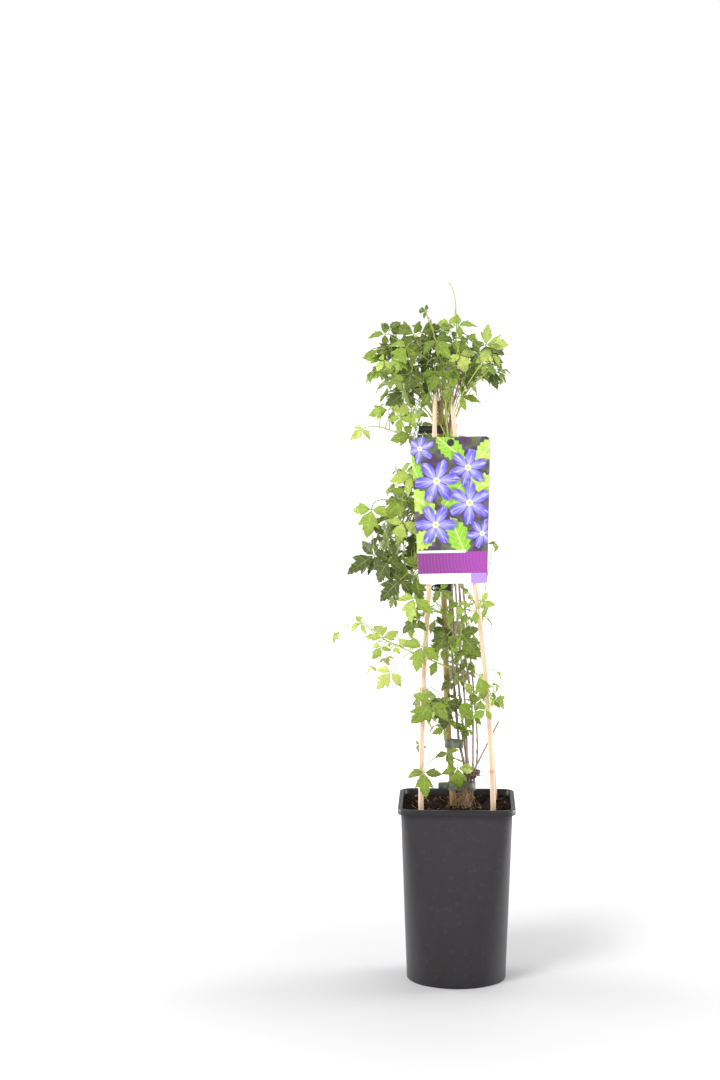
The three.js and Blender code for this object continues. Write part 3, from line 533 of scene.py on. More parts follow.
@dataclass(frozen=True)
class Chips:
    """Bark chips and straw; tone runs from dark bark to pale straw."""

    bark: Colour = (0.030, 0.016, 0.010)
    straw: Colour = (0.38, 0.245, 0.13)

    def dress(self) -> Material:
        """Returns the material."""
        b = Board("chips_and_straw")
        grain = b.noise(b.place, 700, 5)
        colour = b.blend(b.mark("tone") * (0.7 + 0.6 * grain), self.bark, self.straw)
        return b.surface(colour, 0.8 + 0.15 * grain, grain, 0.3, Specular_IOR_Level=0.2)


@dataclass(frozen=True)
class Bamboo:
    """Bamboo with long grain, freckles, a worn sheen and darker joints, which the under number marks. The
    same number darkens the sawn end and the hollow below it, as painted shade down the hollow.
    """

    name: str
    pale: Colour
    deep: Colour
    stain: Colour

    def dress(self) -> Material:
        """Returns the material."""
        b = Board(self.name)
        grain = b.strands(26, 0.012, 3.0, 6)
        cloud = b.strands(5, 0.006, 2.0, 3) * 0.6 + b.noise(b.place, 16, 3) * 0.4
        freckle = b.step(b.strands(12, 0.35, 3.0, 3), 0.66, 0.74)
        # under marks the joints, and also the sawn end with its hollow, where the darkening is painted shade
        joint = b.mark("under")
        colour = b.layers(
            self.pale, (b.step(cloud, 0.32, 0.68), self.deep), (grain * 0.35, self.stain),
            (freckle * 0.3, self.stain), (joint * 0.75, self.stain),
        )
        rough = 0.38 + 0.2 * grain + 0.15 * joint
        return b.surface(colour, rough, grain, 0.09, Coat_Weight=0.12, Coat_Roughness=0.35)


@dataclass(frozen=True)
class Bark:
    """Old stem bark: purple-brown, split lengthways, with fawn strips where it peels, made pale enough to
    serve as painted glints as well.
    """

    deep: Colour = (0.085, 0.047, 0.038)
    warm: Colour = (0.44, 0.28, 0.21)
    peel_and_glint: Colour = (0.70, 0.62, 0.61)

    def dress(self) -> Material:
        """Returns the material."""
        b = Board("old_bark")
        strips, flakes = b.strands(6, 0.014, 2.4, 4), b.strands(9, 0.09, 2.4, 5)
        warmth = b.mark("tone") * 1.2 + b.noise(b.place, 60, 3) * 0.6 - 0.4
        colour = b.layers(
            self.deep, (warmth, self.warm), (b.step(flakes, 0.62, 0.4) * 0.5, self.deep),
            # pale strips: peeling bark, whitened into painted glints along the stem
            (b.step(strips * 0.7 + flakes * 0.3, 0.52, 0.60) * 0.8, self.peel_and_glint),
        )
        return b.surface(colour, 0.62 + 0.25 * strips, strips * 0.5 + flakes * 0.5, 0.4)


VEINS = 7


@dataclass(frozen=True)
class Blade:
    """Leaf blade. Its texture runs across from edge to edge and along with the rib.

    Side veins leave the rib at even steps, with fine net veins between them. The underside is paler and
    greyer, and tone turns the green from deep to the yellow-green of new leaves. Its deep end also paints
    shade on leaves that sit in shadow.
    """

    deep: Colour = (0.048, 0.070, 0.0045)
    mid: Colour = (0.245, 0.362, 0.030)
    young: Colour = (0.60, 0.68, 0.17)
    beneath: Colour = (0.39, 0.46, 0.19)
    rib: Colour = (0.57, 0.66, 0.24)

    def dress(self) -> Material:
        """Returns the material."""
        b = Board("leaf_blade")
        across, along = b.uv()
        under = b.mark("under")
        cloud, mottle = b.noise(b.place, 55, 4), b.noise(b.place, 420, 5)
        out = abs(across * 2 - 1)
        row = b.saw(along * VEINS + 0.5)
        side = b.step(row, 0.085, 0.015) * b.step(out, 1.0, 0.75)
        # hollow darkens the green along the side veins: painted shade in the grooves
        hollow = b.step(row, 0.28, 0.06) * b.step(out, 0.02, 0.3)
        veins = b.highest(b.step(out, 0.06, 0.015), side * 0.6)
        net = b.step(b.cells(b.place, 900, "DISTANCE_TO_EDGE"), 0.09, 0.0)
        # tone: each leaf's own green, pushed deep as painted shade where a leaf sits in shadow
        tone = b.mark("tone") + ((cloud - 0.5) * 0.35 + (mottle - 0.5) * 0.6 - hollow * 0.10)
        light = b.step(tone, 0.45, 1.0)
        colour = b.layers(
            self.deep, (b.step(tone, 0.0, 0.55), self.mid), (light, self.young),
            (under * 0.85, b.blend(light * 0.7, self.beneath, self.young)),
            (b.step(out, 0.93, 1.0) * 0.35, self.rib), (veins * 0.34 + net * 0.10, self.rib),
        )
        puff = (1 - veins) * 0.7 + (1 - net) * 0.3 + mottle * 0.5 + cloud * 0.2
        return b.surface(colour, 0.38 + 0.2 * under + 0.15 * cloud, puff, 0.34, Specular_IOR_Level=0.3)


@dataclass(frozen=True)
class Stalk:
    """Green stalks, redder and browner where they are older, which tone gives from 0 to 1."""

    old: Colour = (0.19, 0.080, 0.060)
    green: Colour = (0.27, 0.35, 0.055)
    young: Colour = (0.48, 0.56, 0.13)

    def dress(self) -> Material:
        """Returns the material."""
        b = Board("green_stalk")
        tone = b.mark("tone")
        ridges = b.strands(8, 0.05, 2.0, 3)
        ripe = b.step(tone + (b.noise(b.place, 80, 3) - 0.5) * 0.5, 0.05, 0.5)
        colour = b.layers(self.old, (ripe, self.green), (b.step(tone, 0.5, 1.0), self.young))
        return b.surface(colour, 0.45 + 0.2 * ridges, ridges, 0.12)


@dataclass(frozen=True)
class Tape:
    """Tie and button plastic with a fine rib and worn clouds."""

    name: str
    colour: Colour
    worn: Colour
    rough: float
    ribs: float = 5200.0

    def dress(self) -> Material:
        """Returns the material."""
        b = Board(self.name)
        cloud = b.noise(b.place, 140, 4)
        ribs = b.math("SINE", b.split(b.place)[2] * self.ribs) * 0.5 + 0.5
        colour = b.blend(b.step(cloud, 0.4, 0.75), self.colour, self.worn)
        return b.surface(colour, self.rough + 0.2 * cloud, ribs * 0.4 + cloud * 0.6, 0.12)


@dataclass(frozen=True)
class PrintedCard:
    """A glossy garden card: open violet flowers over lime leaves and plum shade, above a magenta band.

    Its texture is in centimetres from the card's top centre: across to the right and along downwards. Each
    flower and leaf is written (across, along, size, turn).
    """

    flowers: tuple[tuple[float, float, float, float], ...] = (
        (3.5, 11.3, 1.75, 0.5), (-3.6, 1.3, 1.7, 1.1), (-1.9, 10.2, 2.35, 0.0), (2.0, 3.6, 2.2, 0.9),
        (-1.7, 5.1, 2.55, 0.35), (2.1, 7.7, 2.5, 1.4),
    )
    leaves: tuple[tuple[float, float, float, float], ...] = (
        (-3.6, 7.5, 2.3, 0.7), (0.4, 6.5, 2.4, -0.9), (4.0, 5.6, 2.3, 0.3), (0.7, 11.6, 2.5, 1.2),
        (-3.5, 12.0, 2.0, -0.4), (0.0, 1.3, 2.2, 0.7), (4.2, 1.6, 2.0, -0.8), (-4.3, 3.6, 1.9, 1.2),
    )
    plum: Colour = (0.052, 0.020, 0.062)
    moss: Colour = (0.085, 0.125, 0.030)
    haze: Colour = (0.21, 0.10, 0.26)
    limes: tuple[Colour, Colour] = ((0.50, 0.72, 0.10), (0.27, 0.56, 0.022))
    lime_shade: Colour = (0.16, 0.40, 0.02)
    lime_vein: Colour = (0.86, 0.93, 0.42)
    shadow: Colour = (0.030, 0.012, 0.045)
    petal: Colour = (0.37, 0.35, 0.88)
    petal_tip: Colour = (0.095, 0.060, 0.56)
    petal_bar: Colour = (0.66, 0.66, 0.95)
    petal_gap: Colour = (0.045, 0.02, 0.28)
    petal_edge: Colour = (0.09, 0.05, 0.60)
    stamens: Colour = (0.90, 0.90, 0.50)
    eye: Colour = (0.45, 0.60, 0.12)
    band: tuple[Colour, Colour] = ((0.20, 0.020, 0.20), (0.32, 0.035, 0.34))
    arcs: Colour = (0.50, 0.12, 0.55)
    arc_centre: Span = (5.0, 14.2)
    foot: tuple[Colour, Colour] = ((0.93, 0.93, 0.93), (0.42, 0.24, 0.85))
    line: Colour = (0.92, 0.92, 0.94)
    back: Colour = (0.80, 0.80, 0.78)
    band_top: float = 13.35
    band_foot: float = 15.9
    sharp: float = 0.03

    def lay_leaf(self, b: Board, x: Level, y: Level, spots: Level, colour: Ink, number: int) -> Socket:
        """Lays one pointed leaf with wavy edges and pale veins over the print.

        Args:
            b: the board.
            x: place across.
            y: place along.
            spots: where the leaf is shaded.
            colour: the print so far.
            number: which leaf.

        Returns:
            The print with the leaf.
        """
        cx, cy, size, turn = self.leaves[number]
        dx, dy = x - cx, y - cy
        u = (dx * math.cos(turn) + dy * math.sin(turn)) / size
        v = (dy * math.cos(turn) - dx * math.sin(turn)) / size
        out = abs(v)
        width = 0.52 * (1 - u * u) + 0.05 * b.math("SINE", u * 22)
        inside = b.step(out - width, self.sharp, -self.sharp) * b.step(abs(u), 1.0, 0.98)
        veins = b.highest(b.step(out, 0.05, 0.015), b.step(b.saw((u + out) * 3.5), 0.09, 0.02) * 0.5)
        ink = b.layers(self.limes[number % 2], (spots, self.lime_shade), (veins * 0.6, self.lime_vein))
        return b.blend(inside, colour, ink)

    def lay_flower(self, b: Board, x: Level, y: Level, colour: Ink, number: int) -> Socket:
        """Lays one open flower over the print, on a shadow of its own.

        Its edge stands at size x (0.26 + 0.76 x |cos 3a| to the power 0.7), a little frayed, so that three
        waves make six petals, with streaks that run outwards.

        Args:
            b: the board.
            x: place across.
            y: place along.
            colour: the print so far.
            number: which flower.

        Returns:
            The print with the flower.
        """
        cx, cy, size, turn = self.flowers[number]
        dx, dy = x - cx, y - cy
        out = b.far(dx, dy) / size
        angle = b.math("ARCTAN2", dy, dx)
        lobes = abs(b.math("COSINE", angle * 3 + turn))
        edge = out / (0.26 + 0.76 * lobes**0.7 + 0.03 * b.math("SINE", angle * 17 + out * 9))
        streak = b.noise(b.vector(angle * 7, out * 1.3, cx), 1.6, 3)
        petal = b.layers(
            self.petal, (b.step(out + streak * 0.5, 0.35, 1.15), self.petal_tip),
            (b.step(lobes, 0.80, 1.0) * b.step(streak, 0.40, 0.62) * 0.7, self.petal_bar),
            (b.step(lobes, 0.42, 0.06) * b.step(out, 0.72, 0.25) * 0.75, self.petal_gap),
            (b.step(edge, 0.82, 1.0) * 0.35, self.petal_edge),
            (b.step(out + 0.12 * streak, 0.24, 0.18), self.stamens), (b.step(out, 0.09, 0.06), self.eye),
        )
        shadow = b.step(edge, 1.22, 0.98) * 0.6
        return b.layers(colour, (shadow, self.shadow), (b.step(edge, 1.02, 0.985), petal))

    def dress(self) -> Material:
        """Returns the material."""
        b = Board("printed_card")
        x, y = b.uv()
        flat = b.vector(x, y)
        dapple = b.noise(flat, 1.6, 4, 0.4)
        spots = b.step(dapple, 0.4, 0.7) * 0.6
        soft = b.step(b.noise(flat, 0.55, 3, 0.6), 0.42, 0.60)
        colour = b.layers(self.plum, (soft, self.moss), (b.step(dapple, 0.50, 0.72) * 0.6, self.haze))
        for number in range(len(self.leaves)):
            colour = self.lay_leaf(b, x, y, spots, colour, number)
        for number in range(len(self.flowers)):
            colour = self.lay_flower(b, x, y, colour, number)
        arcs = b.step(b.saw(b.far(x - self.arc_centre[0], y - self.arc_centre[1]) * 2.6), 0.12, 0.03) * 0.3
        band = b.layers(self.band[0], (b.step(x, -4, 4), self.band[1]), (arcs, self.arcs))
        foot = b.blend(b.step(x, 2.05, 2.12), *self.foot)
        line = b.step(abs(y - self.band_top), 0.16, 0.12) * b.step(x, 1.6, 1.5)
        colour = b.layers(
            colour, (b.step(y, self.band_top, self.band_top + self.sharp), band), (line, self.line),
            (b.step(y, self.band_foot, self.band_foot + self.sharp), foot), (b.mark("under"), self.back),
        )
        wear = b.noise(b.place, 70, 3)
        return b.surface(colour, 0.16 + 0.14 * wear, wear, 0.05, Coat_Weight=0.6, Coat_Roughness=0.08)


@dataclass(frozen=True)
class StudioFloor:
    """Plain pale floor that glows more and more with the distance, so that it fades into the white air."""

    near: Colour = (0.66, 0.655, 0.665)
    glow: Colour = (1.0, 1.0, 1.0)
    fade: Span = (0.12, 1.5)

    def dress(self) -> Material:
        """Returns the material."""
        b = Board("studio_floor")
        x, y, _ = b.split(b.place)
        glow = b.blend(b.step(b.far(x, y), *self.fade), (0, 0, 0), self.glow)
        b.feed(b.shader.inputs["Emission Color"], glow)
        return b.surface(self.near, 0.8, Emission_Strength=1.0, Specular_IOR_Level=0.2)


# ---------------------------------------------------------------- pieces


def make_piece(
    name: str,
    parts: Sequence[Surface],
    finishes: Sequence[Material],
    nodes: Sequence[str] = (),
    sharp: bool = False,
    held: bool = True,
) -> bpy.types.Object:
    """Makes a mesh object from surfaces and lets it ride on the plant's one body.

    Args:
        name: the piece's name.
        parts: its surfaces, in millimetres.
        finishes: its materials, in the order that the surfaces number them.
        nodes: the CAD nodes that it replaces.
        sharp: whether edges stay sharp, as on chips.
        held: whether points are held inside the CAD's box.

    Returns:
        The object.
    """
    whole, tones, unders, finish = join(parts)
    if held:
        whole.points = np.clip(whole.points, BOX_LOW, BOX_HIGH)
    mesh = bpy.data.meshes.new(name)
    quads, tris = len(whole.quads), len(whole.tris)
    mesh.vertices.add(len(whole.points))
    mesh.vertices.foreach_set("co", (whole.points * MM).astype(np.float32).ravel())
    corners = np.concatenate([whole.quads.ravel(), whole.tris.ravel()]).astype(np.int32)
    mesh.loops.add(len(corners))
    mesh.loops.foreach_set("vertex_index", corners)
    starts = np.concatenate([np.arange(quads) * 4, quads * 4 + np.arange(tris) * 3]).astype(np.int32)
    mesh.polygons.add(quads + tris)
    mesh.polygons.foreach_set("loop_start", starts)
    mesh.polygons.foreach_set("material_index", finish.astype(np.int32))
    mesh.polygons.foreach_set("use_smooth", np.full(quads + tris, not sharp))
    places = np.concatenate([whole.quad_uv.reshape(-1, 2), whole.tri_uv.reshape(-1, 2)])
    mesh.uv_layers.new(name="UVMap").data.foreach_set("uv", places.astype(np.float32).ravel())
    for mark, values in (("tone", tones), ("under", unders)):
        mesh.attributes.new(mark, "FLOAT", "POINT").data.foreach_set("value", values.astype(np.float32))
    mesh.update()
    mesh.validate()
    for material in finishes:
        mesh.materials.append(material)
    piece = bpy.data.objects.new(name, mesh)
    bpy.context.scene.collection.objects.link(piece)
    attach(piece, BODY)
    if nodes:
        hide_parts(*nodes)
    LOG.info("%s: %d faces", name, quads + tris)
    return piece


# Sizes that the CAD solids share, in millimetres.
POT_HEIGHT = 215.0
POT_BASE_RADIUS = 59.0
POT_BASE_CORNER = 58.5
POT_TOP_HALF = 65.5
POT_TOP_CORNER = 13.0
POT_WALL = 1.6
FLANGE_HALF = 69.0
FLANGE_HEIGHT = 7.0
SOIL_TOP = 207.0
CLEARANCE = 0.35


def rounded_square(half: Array, corner: Array, z: Array, count: int = 26) -> Array:
    """Runs rings round squares: corner centre + corner radius x (cos a, sin a), quarter by quarter.

    Args:
        half: half the side of each ring's square.
        corner: each ring's corner radius.
        z: each ring's height.
        count: points on a corner.

    Returns:
        (rings, 4 x count, 3) points, anticlockwise from above.
    """
    quarter = np.repeat(np.arange(4), count)
    angle = quarter * np.pi / 2 + np.tile(np.linspace(0, np.pi / 2 * 0.999, count), 4)
    side_x, side_y = np.array([1, -1, -1, 1])[quarter], np.array([1, 1, -1, -1])[quarter]
    half, corner, z = (np.asarray(v, float)[:, None] for v in (half, corner, z))
    x = side_x * (half - corner) + corner * np.cos(angle)
    y = side_y * (half - corner) + corner * np.sin(angle)
    return np.stack([x, y, z + 0 * x], axis=-1)


def pot_section(z: Array, inset: Array) -> Array:
    """Rings of the pot's wall: square at the mouth and round at the foot, in a straight blend with height."""
    z, inset = np.asarray(z, float), np.asarray(inset, float)
    share = z / POT_HEIGHT
    half = POT_BASE_RADIUS + (POT_TOP_HALF - POT_BASE_RADIUS) * share - inset
    corner = POT_BASE_CORNER + (POT_TOP_CORNER - POT_BASE_CORNER) * share - inset
    return rounded_square(half, corner, z)


@dataclass
class Pot:
    """The nursery pot: a blended wall, a flange with rounded lips, and drain holes cut through its floor."""

    drain_holes: int = 8
    drain_radius: float = 4.5
    drain_circle: float = 43.0
    floor_shares: tuple[float, ...] = (0.05, 0.45, 0.85)
    finish: MouldedPlastic = MouldedPlastic()

    def rings(self) -> Array:
        """Returns the wall's rings from the underside, up the outside, over the lip and down the inside."""
        under, lip, side = POT_HEIGHT - FLANGE_HEIGHT, POT_HEIGHT - 1.2, FLANGE_HALF
        shares = np.array(self.floor_shares)[:, None, None]
        floor = pot_section([0, 0, 0], [1.6] * 3)
        floor[..., :2] *= shares
        chamfer = pot_section([0, 0.15, 0.6, 1.6], [1.6, 0.9, 0.25, 0])
        wall = pot_section(np.linspace(4, under - 0.6, 30), np.zeros(30))
        half, z = np.array([
            (POT_TOP_HALF + 0.2, under - 0.2), (side - 0.8, under), (side - 0.2, under + 0.2),
            (side, under + 0.8), (side, lip), (side - 0.15, lip + 0.7), (side - 0.6, lip + 1.08),
            (side - 1.3, POT_HEIGHT), (POT_TOP_HALF - 0.2, POT_HEIGHT), (POT_TOP_HALF - 1.0, lip + 0.9),
        ]).T
        flange = rounded_square(half, half + POT_TOP_CORNER - POT_TOP_HALF, z)
        inner = pot_section(np.linspace(lip, POT_WALL + 1, 24), np.full(24, POT_WALL))
        inside = pot_section([POT_WALL] * 3, [POT_WALL + 1] * 3)
        inside[..., :2] *= shares[::-1] * 1.1
        return np.concatenate([floor, chamfer, wall, flange, inner, inside])

    def build(self) -> None:
        """Makes the wall and cuts the drain holes."""
        rings, finishes = self.rings(), [self.finish.dress()]
        tube = revolve(rings, np.linspace(0, 1, len(rings)))
        pot = make_piece("nursery_pot", [tube], finishes, ["pot"])
        angles = 2 * np.pi * (np.arange(self.drain_holes) + 0.5) / self.drain_holes
        spots = self.drain_circle * np.column_stack([np.cos(angles), np.sin(angles)])
        lines = [np.array([(x, y, -3), (x, y, POT_WALL + 3)]) for x, y in spots]
        plugs = [sweep(line, (self.drain_radius, self.drain_radius), 32) for line in lines]
        cutter = make_piece("drain_cutter", plugs, finishes, held=False)
        cut = pot.modifiers.new("drains", "BOOLEAN")
        cut.object, cut.operation, cut.solver = cutter, "DIFFERENCE", "EXACT"
        shaped = bpy.data.meshes.new_from_object(pot.evaluated_get(bpy.context.evaluated_depsgraph_get()))
        pot.modifiers.clear()
        old, pot.data = pot.data, shaped
        bpy.data.meshes.remove(old)
        bpy.data.objects.remove(cutter)


@dataclass
class SoilBed:
    """Crumbly soil under the rim, strewn with loose crumbs, bark chips and straw."""

    crumbs: int = 1500
    chips: int = 150
    straws: int = 30
    spread: float = 60.0
    straw_spread: float = 61.0
    seed: int = 11
    soil_finish: Peat = Peat()
    chip_finish: Chips = Chips()

    def height(self, x: Array, y: Array) -> Array:
        """The soil's height: two broad waves and seeded crumbs on the flat."""
        broad = 1.4 * np.sin(x / 9 + 1) * np.cos(y / 11) + 0.9 * np.sin((x + 2 * y) / 7)
        return SOIL_TOP + broad + 0.9 * ripples(x, y, self.seed, (3.5, 14), 40)

    def bed(self) -> Surface:
        """Rings from the floor up the pot's wall and in to the middle, lifted to the soil's height."""
        inset = POT_WALL + CLEARANCE
        sides = pot_section([inset, 80, SOIL_TOP - 2], [inset] * 3)
        floor = sides[:1] * (0.2, 0.2, 1)
        shares = np.linspace(0.995, 0.02, 60)[:, None, None]
        top = sides[-1:] * np.concatenate([shares, shares, np.ones_like(shares)], axis=-1)
        top[..., 2] = self.height(top[..., 0], top[..., 1])
        rings = np.concatenate([floor, sides, top])
        return revolve(rings, np.linspace(0, 1, len(rings)))

    def spots(self, draw: np.random.Generator, count: int) -> Array:
        """Draws places on the soil, clear of the wall."""
        xy = draw.uniform(-self.spread, self.spread, (count, 2))
        return np.column_stack([xy, self.height(*xy.T)])

    def crumb(self, draw: np.random.Generator, spot: Array) -> Surface:
        """Carries a knobbly five-sided section along a short line, as long as it is thick."""
        size = 0.45 + 1.2 * draw.random() ** 2.5
        path = spot + (0, 0, 0.3 * size) + np.linspace(-1, 1, 4)[:, None] * unit(draw.normal(0, 1, 3)) * size
        radii = size * np.array([0.4, 1.0, 0.95, 0.4])
        return sweep(path, radii, 5, 0, 0.0, draw.uniform(0.7, 1.2, (4, 5)))

    def chip(self, draw: np.random.Generator, spot: Array) -> Surface:
        """Carries a flattened five-sided section along a short bent line."""
        length, width = draw.uniform(2, 7), draw.uniform(0.6, 1.9)
        turn = draw.uniform(0, 2 * np.pi)
        way = np.array([math.cos(turn), math.sin(turn), draw.uniform(-0.25, 0.35)])
        path = spot + np.linspace(-0.5, 0.5, 4)[:, None] * way * length
        path[:, 2] += 0.5 + draw.uniform(-0.4, 0.4, 4)
        radii = width * np.array([0.45, 1.0, 0.85, 0.35])
        return sweep(path, radii, 5, 0, 0.45 * draw.random() ** 3, draw.uniform(0.55, 1.2, (4, 5)))

    def straw(self, draw: np.random.Generator, spot: Array) -> Surface:
        """Carries a thin square along a curved line that lies on the soil."""
        length, turn, bend = draw.uniform(8, 26), draw.uniform(0, 2 * np.pi), draw.uniform(-0.9, 0.9)
        angle = turn + bend * np.linspace(-1, 1, 9)
        ways = np.column_stack([np.cos(angle), np.sin(angle), 0 * angle])
        path = spot + np.cumsum(ways, axis=0) * length / len(ways)
        path[:, :2] = np.clip(path[:, :2], -self.straw_spread, self.straw_spread)
        path[:, 2] = self.height(path[:, 0], path[:, 1]) + 0.5 + draw.uniform(0, 0.8)
        return sweep(path, (0.35, 0.15), 4, 0, draw.uniform(0.55, 1.0))

    def build(self) -> None:
        """Makes the bed, its loose crumbs, the chips and the straw."""
        peat, chips = self.soil_finish.dress(), self.chip_finish
        make_piece("soil_bed", [self.bed()], [peat], ["soil"])
        draw = np.random.default_rng(self.seed)
        crumbs = [self.crumb(draw, spot) for spot in self.spots(draw, self.crumbs)]
        make_piece("soil_crumbs", crumbs, [peat])
        litter = [self.chip(draw, spot) for spot in self.spots(draw, self.chips)]
        litter += [self.straw(draw, spot) for spot in self.spots(draw, self.straws)]
        make_piece("chips_and_straw", litter, [chips.dress()], sharp=True)


class CaneKind(Enum):
    """The two kinds of bamboo."""

    PALE = Bamboo("pale_bamboo", (0.79, 0.63, 0.475), (0.67, 0.455, 0.30), (0.50, 0.29, 0.16))
    OLIVE = Bamboo("olive_bamboo", (0.46, 0.33, 0.11), (0.29, 0.18, 0.045), (0.13, 0.075, 0.022))


@dataclass
class Cane:
    """One bamboo cane: a long tube with a raised ring and a scar at each joint, sawn off over a hollow.

    mouth gives each ring of the sawn end: its place past the end and its share of the end's radius.
    """

    name: str
    kind: CaneKind
    radius: float
    joints: tuple[float, ...]
    route: tuple[Point, ...]
    swell: float = 0.45
    scar: float = 0.16
    narrowing: float = 0.14
    rows: int = 230
    sides: int = 20
    mouth: tuple[Span, ...] = ((0.02, 0.93), (0.0, 0.5), (-0.25, 0.45), (-6.0, 0.42))

    def surface(self) -> Surface:
        """Carries a circle up the route, raised by swell x exp(-(distance to the joint / 1.7 mm) squared)."""
        t = np.linspace(0, 1, self.rows)
        steps = distances(catmull_rom(self.route, t))
        joint_at = np.interp(self.joints, t, steps)
        fine = np.concatenate([steps] + [j + np.linspace(-6, 6, 25) for j in joint_at])
        fine = np.unique(np.round(fine, 3))
        t = np.interp(fine, steps, t)
        path = catmull_rom(self.route, t)
        gap = np.abs(fine[:, None] - joint_at).min(axis=1)
        radii = self.radius * (1 - self.narrowing * t) * (1 + 0.012 * np.sin(fine / 17))
        radii += self.swell * np.exp(-((gap / 1.7) ** 2)) - self.scar * np.exp(-(((gap - 2.8) / 0.7) ** 2))
        past, shares = np.array(self.mouth).T
        ahead = tangents(path)
        path = np.concatenate([path, path[-1] + past[:, None] * ahead[-1]])
        ahead = np.concatenate([ahead, np.repeat(ahead[-1:], len(past), axis=0)])
        radii = np.concatenate([radii, radii[-1] * shares])
        reach = np.repeat(radii[:, None], self.sides, axis=1)
        tube = revolve(circles(path, ahead, np.eye(3)[0], reach), distances(path))
        # the sawn end and its hollow take 0.6 of the joint stain: painted shade down the hollow
        marks = np.concatenate([np.exp(-((gap / 2.6) ** 2)), np.full(len(past), 0.6)])
        tube.under = np.concatenate([np.repeat(marks, self.sides), [0, 0.6]])
        return tube

    def build(self, finish: Material) -> list[Surface]:
        """Makes the cane and returns its surface."""
        parts = [self.surface()]
        make_piece(self.name + "_bamboo", parts, [finish], [self.name])
        return parts


CANES = (
    Cane(
        "cane_front_left", CaneKind.PALE, 3.2, (0.36, 0.66),
        ((-42, -42, 60), (-42, -42, 200), (-41, -38, 300), (-37.5, -33, 400),
         (-32, -27, 500), (-29, -21, 600), (-27.5, -17.5, 650), (-27, -15.5, 697)),
    ),
    Cane(
        "cane_front_right", CaneKind.PALE, 3.2, (0.22, 0.5),
        ((43, -42, 60), (43, -42, 200), (38.5, -38, 300), (30, -33, 400),
         (17, -27, 500), (3, -20.5, 600), (-3.5, -17.5, 650), (-8, -15.5, 694)),
    ),
    Cane(
        "cane_back_right", CaneKind.PALE, 2.9, (0.3, 0.6),
        ((46, 38, 60), (46, 38, 200), (40, 35, 300), (31, 30, 400),
         (18, 24, 500), (3, 16, 600), (-5, 12, 650), (-10, 9, 688)),
    ),
    Cane(
        "cane_middle", CaneKind.OLIVE, 3.8, (0.26, 0.45),
        ((-4, -2, 60), (-4, -2, 200), (-10.5, -2, 300), (-14, -2, 400),
         (-17, -2, 500), (-19, -3, 600), (-20, -4, 650), (-20.5, -4, 688)),
    ),
)

WOODY_STEMS: tuple[tuple[float, tuple[Point, ...]], ...] = (
    (1.7, ((9, -3, 190), (9, -5, 250), (3, -6, 283), (0, -8, 310), (-3, -8.5, 345), (-5.5, -9, 385),
           (-7.5, -9, 420), (-9, -9, 460), (-11, -9.5, 520), (-12, -10, 580), (-13, -10, 645))),
    (1.5, ((12, 1, 190), (12.5, 1, 240), (9, 2, 283), (5, 2, 320), (1, 3, 360), (-3, 5, 400),
           (-6, 6, 450), (-9, 6, 520), (-12, 6, 600), (-13, 5, 655))),
    (1.3, ((19, -2, 246), (19, -2, 275), (19, -2, 300), (17, -1, 330), (12, 0, 370), (7, 2, 410),
           (3, 1, 460), (-1, 0, 530), (-4, -1, 600), (-5, -2, 655))),
    (1.3, ((16, -5, 246), (12.5, -7, 268), (11.5, -8, 290), (10, -8, 320), (7, -9, 360), (3, -10, 400),
           (-1, -12, 450), (-5, -13.5, 520), (-9, -14, 600), (-12, -14, 648))),
    (1.2, ((22, 1, 246), (24, 2, 268), (24, 3, 292), (21, 5, 330), (16, 8, 380), (10, 11, 430),
           (4, 12, 500), (-3, 10, 580), (-9, 8, 645))),
)


